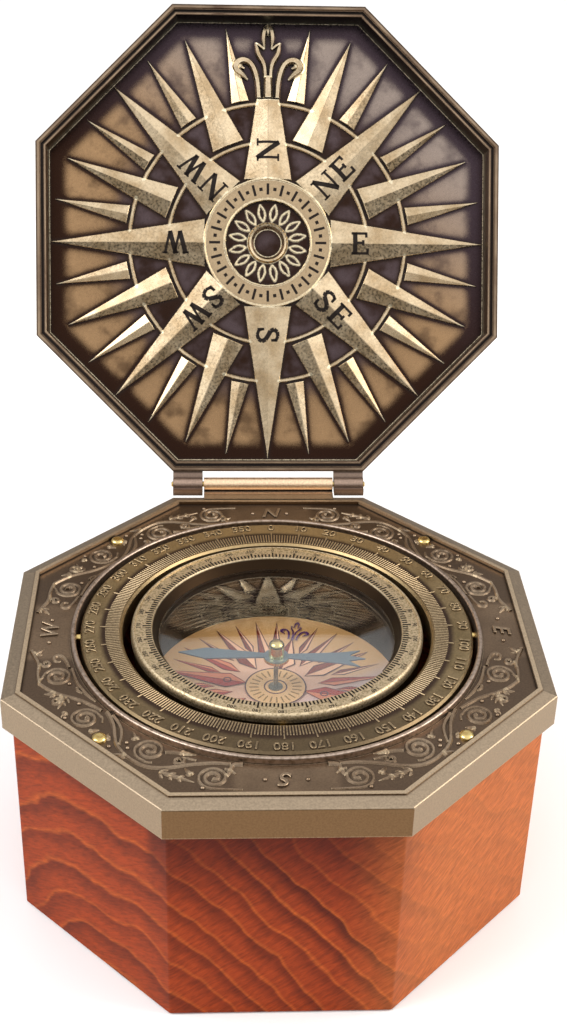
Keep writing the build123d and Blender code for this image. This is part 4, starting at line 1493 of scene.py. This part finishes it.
@dataclass
class Gimbal:
    """The gimbal ring with its raised degree numbers and ticks."""

    top: float = 51.0
    number_radius: float = 35.35
    number_size: float = 2.7
    number_height: float = 0.22
    number_bevel: float = 0.05
    tick_start: float = 29.9
    short_end: float = 32.5
    long_end: float = 33.5
    tick_width: float = 0.27
    tick_height: float = 0.22
    tick_bevel: float = 0.07
    step: int = 10  # degrees between numbers
    ticks: int = 10  # ticks in each step

    def add_numbers(self) -> None:
        """Raise the numbers, tops outward, clockwise from the hinge side."""
        shape = bmesh.new()
        for degrees in range(0, 360, self.step):
            number = lettering(str(degrees), self.number_size, self.number_height, self.number_bevel)
            absorb(shape, number, dial_turn(degrees, self.number_radius, self.top))
        place("ring_numbers", shape, Body.GIMBAL, "ring_bronze", RING_BRONZE)

    def add_ticks(self) -> None:
        """Raise the ticks: a long one at each number and short ones between."""
        shape = bmesh.new()
        for i in range(self.ticks):
            end = self.long_end if i == 0 else self.short_end
            angle = self.step * i / self.ticks
            bar(shape, self.tick_start, end, self.tick_width, 2 * self.tick_height, angle, self.tick_bevel)
        around(shape, 360 // self.step)
        place("ring_ticks", lifted(shape, self.top), Body.GIMBAL, "ring_bronze", RING_BRONZE)

    def build(self) -> None:
        """Dress the ring and add its scale."""
        RING_BRONZE.dress("gimbal_ring")
        BRIGHT_BRASS.dress("inner_pivots")
        self.add_numbers()
        self.add_ticks()


@dataclass(frozen=True)
class PrintRank:
    """One rank of the printed rays: how many, the heading of the first, and the sizes of one."""

    count: int
    first: float
    root: float
    tip: float
    half: float


@dataclass
class CardPrint:
    """The wind rose printed on the card: rays, a hub of plain marks, two small rings and a lily."""

    card_top: float = 36.0
    turn: float = 14.0  # degrees that the card lies turned clockwise
    layer: float = 0.02  # how high a print lies over the one below it
    thickness: float = 0.015
    outline: float = 0.3
    spine: float = 0.1  # half the width of the line along a ray
    widest: float = 0.22  # where a ray is widest, as a share of its length
    ranks: tuple[PrintRank, ...] = (
        PrintRank(16, 11.25, 12.0, 21.6, 0.62),
        PrintRank(8, 22.5, 8.6, 21.8, 1.05),
        PrintRank(4, 45.0, 7.0, 21.6, 1.6),
        PrintRank(4, 0.0, 5.9, 22.0, 2.0),
    )
    red_spans: tuple[Pair, ...] = ((65.0, 115.0), (200.0, 295.0))
    hub: float = 6.0
    hub_line: float = 0.28
    hub_inner: float = 2.3
    marks: int = 24
    mark_start: float = 3.3
    mark_end: float = 5.1
    mark_half: float = 0.15
    ring_radius: float = 9.6
    ring_size: float = 0.85
    lily_foot: float = 16.0
    lily_scale: float = 0.41
    lily_weight: float = 0.9
    lily_flat: float = 0.06

    def kite(
        self, shape: Shape, rank: PrintRank, grow: float, angle: float, level: float,
        left: PrintInk, right: PrintInk,
    ) -> None:
        """Add one flat ray in two halves.

        Args:
            shape: The shape that grows.
            rank: The ray's sizes.
            grow: How much wider it is on each side, and longer at its tip.
            angle: Its direction in degrees, clockwise from the card's north.
            level: Its height over the card.
            left: The ink of its left half.
            right: The ink of its right half.
        """
        where = dial_turn(angle, 0.0, level)
        wide = rank.root + (rank.tip - rank.root) * self.widest
        for hand, ink in ((-1, left), (1, right)):
            corners = ((0.0, rank.root - grow), (hand * (rank.half + grow), wide), (0.0, rank.tip + 2 * grow))
            made = [shape.verts.new(where @ Vector((x, y, 0.0))) for x, y in corners]
            shape.faces.new(made[::hand]).material_index = ink.number

    def circle(self, shape: Shape, outer: float, inner: float, where: Matrix, ink: PrintInk) -> None:
        """Add a flat ring, or a disc where its inner radius is 0.

        Args:
            shape: The shape that grows.
            outer: Its outer radius.
            inner: Its inner radius.
            where: Where it goes.
            ink: Its ink.
        """
        made = bmesh.ops.create_circle(shape, segments=48, radius=outer)["verts"]
        edges = list({edge for vert in made for edge in vert.link_edges})
        grown = bmesh.ops.extrude_edge_only(shape, edges=edges)["geom"]
        verts = [item for item in grown if isinstance(item, bmesh.types.BMVert)]
        bmesh.ops.scale(shape, vec=(inner / outer, inner / outer, 1.0), verts=verts)
        for face in {face for vert in verts for face in vert.link_faces}:
            face.material_index = ink.number
        bmesh.ops.transform(shape, matrix=where, verts=made + verts)

    def inks(self, angle: float) -> tuple[PrintInk, PrintInk, PrintInk]:
        """Return the inks of the outline, the left half and the right half of the ray at an angle."""
        if any(start <= angle % 360 <= end for start, end in self.red_spans):
            return PrintInk.WINE, PrintInk.RED, PrintInk.CLAY
        return PrintInk.LINE, PrintInk.BROWN, PrintInk.ROSE

    def add_rays(self, shape: Shape) -> float:
        """Add the rays, each rank over the last one, and return the level over them."""
        level = self.layer
        for rank in self.ranks:
            for i in range(rank.count):
                angle = rank.first + 360 / rank.count * i
                mine = replace(rank, tip=self.lily_foot) if angle == 0.0 else rank
                line, left, right = self.inks(angle)
                self.kite(shape, mine, self.outline, angle, level, line, line)
                self.kite(shape, mine, 0.0, angle, level + self.layer, left, right)
                spine = replace(mine, half=self.spine)
                self.kite(shape, spine, 0.0, angle, level + 2 * self.layer, line, line)
            level += 3 * self.layer
        return level

    def add_hub(self, shape: Shape, level: float) -> None:
        """Add the hub with its marks and its two circles, and a small ring on the west and east rays.

        Args:
            shape: The shape that grows.
            level: Its height over the card.
        """
        over = Matrix.Translation((0.0, 0.0, level + self.layer))
        self.circle(shape, self.hub, 0.0, Matrix.Translation((0.0, 0.0, level)), PrintInk.TAN)
        for radius in (self.hub, self.hub_inner):
            self.circle(shape, radius, radius - self.hub_line, over, PrintInk.LINE)
        first = len(shape.faces)
        for i in range(self.marks):
            where = dial_turn(360 / self.marks * i, 0.0, level + self.layer)
            slat(shape, (0.0, self.mark_start), (0.0, self.mark_end), self.mark_half, where, cell=self.hub)
        shape.faces.ensure_lookup_table()
        for face in shape.faces[first:]:
            face.material_index = PrintInk.GOLD.number
        for angle in (90.0, 270.0):
            where = dial_turn(angle, self.ring_radius, level)
            self.circle(shape, self.ring_size, self.ring_size - self.hub_line, where, PrintInk.LINE)

    def build(self) -> None:
        """Print the rose and lay it on the card."""
        shape = bmesh.new()
        level = self.add_rays(shape)
        self.add_hub(shape, level)
        bmesh.ops.remove_doubles(shape, verts=shape.verts, dist=0.0005)
        bmesh.ops.solidify(shape, geom=shape.faces[:], thickness=self.thickness)
        bmesh.ops.recalc_face_normals(shape, faces=shape.faces)
        strokes = lily(self.lily_scale, self.lily_weight, self.lily_foot)
        join(shape, lifted(stroke_shape(strokes, self.lily_flat), level), PrintInk.VIOLET.number)
        shape.transform(dial_turn(self.turn, 0.0, self.card_top))
        place("card_print", shape, Body.BOWL, "card_paper", *(ink.value for ink in PrintInk))


@dataclass
class Bowl:
    """The bowl, its bezel scale, its glass and the printed card."""

    bezel_top: float = 51.3
    bezel_foot: float = 49.9
    bezel_seat: float = 24.9  # the radius of the step that centres it in the bowl
    bevel_top: float = 23.8  # the radius where the slope down to the glass begins
    aperture: float = 22.5
    lip_rise: float = 0.3
    lip_width: float = 0.8
    roll: float = 0.65  # how far the rounded edge reaches inward
    roll_foot: float = 50.3
    glass_seat: float = 49.2  # the top of the glass's flat rim
    glass_foot: float = 22.4  # the radius where the dome begins
    scale_start: float = 23.9
    short_end: float = 24.9
    long_end: float = 25.5
    mark_width: float = 0.32
    mark_height: float = 0.03
    divisions: int = 6  # marks in each 10 degrees
    number_radius: float = 26.2
    number_size: float = 1.15

    def add_scale(self) -> None:
        """Inlay the bezel's marks and its small numbers."""
        shape = bmesh.new()
        for i in range(self.divisions):
            end = self.long_end if i == 0 else self.short_end
            bar(shape, self.scale_start, end, self.mark_width, 2 * self.mark_height, 10 * i / self.divisions)
        around(shape, 36)
        lifted(shape, self.bezel_top)
        for degrees in range(0, 360, 10):
            number = lettering(str(degrees), self.number_size, self.mark_height)
            absorb(shape, number, dial_turn(degrees, self.number_radius, self.bezel_top))
        place("bezel_scale", shape, Body.BOWL, "bezel_brass", WAX)

    def add_bezel(self) -> None:
        """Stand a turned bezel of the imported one's shape, with a fuller rounded edge, in its place."""
        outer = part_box("bezel_ring")[1][0] / MM
        lip, foot = self.bezel_top + self.lip_rise, self.roll_foot
        start = outer - self.lip_width
        roll = [
            (outer - self.roll * (1 - math.cos(turn)), foot + (lip - foot) * math.sin(turn))
            for turn in (math.radians(90 - 15 * i) for i in range(7))]
        shape = bmesh.new()
        spun(shape, [
            (self.bezel_seat, self.glass_seat), (self.aperture, self.glass_seat),
            (self.bevel_top, self.bezel_top), (start, self.bezel_top), (start + 0.05, lip - 0.05), *roll,
            (outer, self.bezel_foot), (self.bezel_seat, self.bezel_foot)], steps=180)
        bmesh.ops.remove_doubles(shape, verts=shape.verts, dist=0.0005)
        bmesh.ops.recalc_face_normals(shape, faces=shape.faces)
        bezel = place("rolled_bezel", shape, Body.BOWL, "bezel_brass", BEZEL_BRASS)
        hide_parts("bezel_ring")

    def add_glass(self) -> None:
        """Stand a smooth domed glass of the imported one's shape in its place."""
        low, high = (Vector(corner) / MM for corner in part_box("crystal"))
        rise = high.z - self.glass_seat
        outer = (self.glass_foot ** 2 + rise ** 2) / (2 * rise)
        centre = high.z - outer
        inner = outer - (self.glass_seat - low.z)
        hollow = math.sqrt(inner ** 2 - (low.z - centre) ** 2)
        shape = bmesh.new()
        spun(shape, [
            *arc(outer, centre, self.glass_foot), (high.x, self.glass_seat), (high.x, low.z),
            *reversed(arc(inner, centre, hollow))])
        bmesh.ops.remove_doubles(shape, verts=shape.verts, dist=0.0005)
        bmesh.ops.recalc_face_normals(shape, faces=shape.faces)
        glass = place("domed_glass", shape, Body.BOWL, "clear_glass", CRYSTAL, sharp=10.0)
        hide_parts("crystal")

    def build(self) -> None:
        """Dress the bowl's pieces and add the glass, the scale and the print."""
        BOWL_BRASS.dress("compass_bowl", "card_plate")
        SLEEVE.dress("inner_sleeve")
        RUBBER.dress("glass_gasket")
        CARD.dress("compass_card")
        LEAD.dress("bowl_weight")
        STEEL.dress("pivot_post")
        self.add_bezel()
        self.add_glass()
        self.add_scale()
        CardPrint().build()


@dataclass
class Needle:
    """The blued needle, its cap and its jewel."""

    def build(self) -> None:
        """Dress the needle's pieces."""
        BLUED.dress("needle")
        BRIGHT_BRASS.dress("needle_cap")
        AGATE.dress("needle_jewel")


@dataclass(frozen=True)
class RayRank:
    """One rank of the lid's rays: how many, the heading of the first, and the sizes of one."""

    count: int
    first: float
    inner: float
    half: float
    side: float
    ridge: float


@dataclass
class Lid:
    """The lid's rose panel, letters and rim. Its own plane has x to the right and y to the free edge."""

    reach: float = 47.3
    floor: float = -6.1
    thickness: float = 0.7
    apothem: float = 47.7
    ranks: tuple[RayRank, ...] = (
        RayRank(16, 11.25, 31.15, 1.96, 0.55, 1.25),
        RayRank(8, 22.5, 22.75, 3.55, 0.65, 1.6),
        RayRank(8, 0.0, 13.8, 5.2, 0.75, 1.9),
    )
    north_cut: float = 31.1
    edge: float = 0.1
    ring_radii: tuple[float, ...] = (30.3, 21.85)
    ring_half: float = 0.42
    ring_height: float = 0.6
    boss_radius: float = 14.1
    boss_inner: float = 9.2
    boss_height: float = 1.45
    lip: float = 0.22
    lip_height: float = 0.28
    cup_radius: float = 3.95
    petals: int = 16
    petal_root: float = 4.8
    petal_tip: float = 8.6
    petal_bulge: float = 0.62
    punches: int = 24
    lily_foot: float = 31.45
    lily_scale: float = 1.03
    lily_weight: float = 1.4
    lily_relief: float = 1.3
    lily_lift: float = 0.55
    letter_radius: float = 20.2
    letter_size: float = 4.9
    letter_lift: float = 0.03
    names: tuple[str, ...] = ("N", "NE", "E", "SE", "S", "SW", "W", "NW")
    rim_beads: tuple[Triple, ...] = ((49.45, 0.42, 0.22), (48.05, 0.2, 0.05))
    joint_name: str = "lid_hinge"
    plane: Matrix = field(default_factory=Matrix)

    def find_plane(self) -> None:
        """Work out the lid's plane from the hinge joint: the middle of the rim's face, at rest."""
        joint = next(j for j in frame["joints"] if j["name"] == self.joint_name)
        lean = math.radians(joint["range_deg"][1] - joint["range_deg"][0])
        axis = Vector(joint["pos_m"]) / MM
        up = Vector((0.0, -math.cos(lean), math.sin(lean)))
        out = Vector((0.0, -math.sin(lean), -math.cos(lean)))
        centre = axis + up * axis.y + out * 0.5
        self.plane = Matrix.Translation(centre) @ Matrix.Rotation(math.pi - lean, 4, "X")

    def finish(self) -> LidPatina:
        """Return the rose's finish, which follows the lid's plane."""
        return LidPatina(
            "lid_antique_brass", body="#DEC8A6", tarnish="#BCA27E", recess="#241713", rubbed="#FFF0CE",
            blotch=5.0, crevice=1.2, edge=0.3, grit=0.5, speckle=0.08, roughness=0.27, bump=0.05,
            centre=tuple(self.plane.translation), lean=self.plane.to_euler().x)

    def ray(self, rank: RayRank) -> Shape:
        """Build one ray that points to +y: a tapering wedge with a ridged roof.

        Args:
            rank: The sizes.

        Returns:
            The ray, on the plane z = 0.
        """
        shape = bmesh.new()
        foot = [shape.verts.new((x, y, 0.0)) for x, y in (
            (-rank.half, rank.inner), (0.0, rank.inner), (rank.half, rank.inner), (0.0, self.reach))]
        roof = bmesh.ops.extrude_face_region(shape, geom=[shape.faces.new(foot)])["geom"]
        top = [item for item in roof if isinstance(item, bmesh.types.BMVert)]
        bmesh.ops.translate(shape, vec=(0.0, 0.0, rank.side), verts=top)
        peak, tip = sorted((v for v in top if abs(v.co.x) < 0.01), key=lambda vert: vert.co.y)
        ridge = bmesh.ops.connect_verts(shape, verts=[peak, tip])["edges"]
        peak.co.z = rank.ridge
        eaves = [e for e in shape.edges if all(v in top for v in e.verts)]
        bmesh.ops.recalc_face_normals(shape, faces=shape.faces)
        bmesh.ops.bevel(
            shape, geom=list({*ridge, *eaves}), offset=self.edge, segments=1, profile=0.5, affect="EDGES",
            clamp_overlap=True, material=-1)
        return shape

    def rose(self) -> Shape:
        """Build the panel's plate, rays, rings, boss, rosette and lily, standing on z = 0."""
        shape = bmesh.new()
        corner = self.apothem / math.cos(math.pi / 8)
        spun(shape, [(0.0, 0.0), (corner, 0.0), (corner, -self.thickness), (0.0, -self.thickness)], 8, 22.5)
        for rank in self.ranks:
            ray = self.ray(rank)
            heading = Matrix.Rotation(-math.radians(rank.first), 3, "Z")
            bmesh.ops.rotate(ray, cent=(0, 0, 0), matrix=heading, verts=ray.verts)
            around(ray, rank.count)
            if rank.first == 0.0:
                self.cut_north(ray, rank)
            join(shape, ray)
        for radius in self.ring_radii:
            spun(shape, bead(radius, self.ring_half, 0.0, self.ring_height))
        spun(shape, [
            (self.boss_inner, 0.0), (self.boss_inner, self.boss_height), (self.boss_radius, self.boss_height),
            (self.boss_radius, 0.0)])
        lip_top = self.boss_height + self.lip_height
        for radius in (self.boss_inner + self.lip, self.boss_radius - self.lip):
            spun(shape, bead(radius, self.lip, self.boss_height - self.lip, lip_top))
        cup = self.cup_radius
        spun(shape, [
            (cup - 0.9, -0.35), (cup - 0.9, 0.1), (cup - 0.3, 1.3), (cup + 0.1, 1.4), (cup + 0.45, 0.9),
            (cup + 0.45, -0.35)], 64)
        join(shape, stroke_shape(self.petal_strokes(), 1.6))
        strokes = lily(self.lily_scale, self.lily_weight, self.lily_foot)
        join(shape, lifted(stroke_shape(strokes, self.lily_relief), self.lily_lift))
        bmesh.ops.remove_doubles(shape, verts=shape.verts, dist=0.0005)
        bmesh.ops.recalc_face_normals(shape, faces=shape.faces)
        return shape

    def cut_north(self, rays: Shape, rank: RayRank) -> None:
        """Cut the north ray short, where the lily stands."""
        mine = [v for v in rays.verts if abs(v.co.x) <= rank.half + 0.01 and v.co.y > rank.inner - 0.5]
        geom = {*mine, *(e for v in mine for e in v.link_edges), *(f for v in mine for f in v.link_faces)}
        cut = bmesh.ops.bisect_plane(
            rays, geom=list(geom), plane_co=(0.0, self.north_cut, 0.0), plane_no=(0.0, 1.0, 0.0),
            clear_outer=True)["geom_cut"]
        bmesh.ops.holes_fill(rays, edges=[item for item in cut if isinstance(item, bmesh.types.BMEdge)])

    def petal_strokes(self) -> list[Stroke]:
        """Draw a plain rosette: pointed petals in outline round the cup."""
        strokes = []
        for i in range(self.petals):
            turn = Matrix.Rotation(math.tau * (i + 0.5) / self.petals, 3, "Z")
            for hand in (-1, 1):
                points = (
                    (0.0, self.petal_root), (hand * self.petal_bulge, self.petal_root + 0.8),
                    (hand * self.petal_bulge * 1.25, (self.petal_root + self.petal_tip) / 2 + 0.5),
                    (0.0, self.petal_tip))
                strokes.append(Stroke(points, (0.17, 0.2, 0.2, 0.14)).moved(turn))
        return strokes

    def marks(self, rose: Shape) -> Shape:
        """Draw the dark letters on the main rays, each reading outward, and the boss's punched marks.

        Args:
            rose: The rose, whose surface the letters follow.

        Returns:
            The marks, lying just over the rose.
        """
        tree = BVHTree.FromBMesh(rose)
        shape = bmesh.new()
        outward = Matrix.Rotation(math.radians(90.0), 4, "Z")
        for i, text in enumerate(self.names):
            spell(shape, text, self.letter_size, dial_turn(45.0 * i, self.letter_radius, 0.0) @ outward)
        middle = (self.boss_inner + self.boss_radius) / 2
        for i in range(self.punches):
            heading = 360 * i / self.punches
            slat(shape, (-1.2, 0.0), (1.2, 0.0), 0.27, dial_turn(heading, middle, 0.0) @ outward)
            slat(shape, (-0.35, 0.0), (0.35, 0.0), 0.35, dial_turn(heading + 180 / self.punches, middle, 0.0))
        for vert in shape.verts:
            hit = tree.ray_cast(Vector((vert.co.x, vert.co.y, 20.0)), Vector((0.0, 0.0, -1.0)))[0]
            vert.co.z = (hit.z if hit else 0.0) + self.letter_lift
        return shape

    def build(self) -> None:
        """Dress the lid's cover and build its rose, its marks and its rim beads."""
        self.find_plane()
        patina = self.finish()
        LID_RIM.dress("lid_cover")
        down = self.plane @ Matrix.Translation((0.0, 0.0, self.floor))
        rose = self.rose()
        marks = self.marks(rose)
        for shape in (rose, marks):
            shape.transform(down)
        panel = place("lid_rose", rose, Body.LID, "lid_bronze", patina, sharp=8.0)
        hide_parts("lid_rose_panel")
        place("lid_letters", marks, Body.LID, "lid_bronze", WAX)
        beads = bmesh.new()
        for apothem, half, height in self.rim_beads:
            spun(beads, bead(apothem / math.cos(math.pi / 8), half, -half, height), 8, 22.5)
        bmesh.ops.recalc_face_normals(beads, faces=beads.faces)
        beads.transform(self.plane)
        place("lid_rim_beads", beads, Body.LID, "lid_bronze", LID_LINE)


def main() -> None:
    """Build the stage and every sub-assembly in order."""
    logging.basicConfig(level=logging.INFO, format="%(message)s")
    for part in (Stage(), WoodenCase(), Deck(), Gimbal(), Bowl(), Needle(), Lid()):
        part.build()
        LOG.info("built %s", type(part).__name__)


if __name__ == "__main__":
    main()
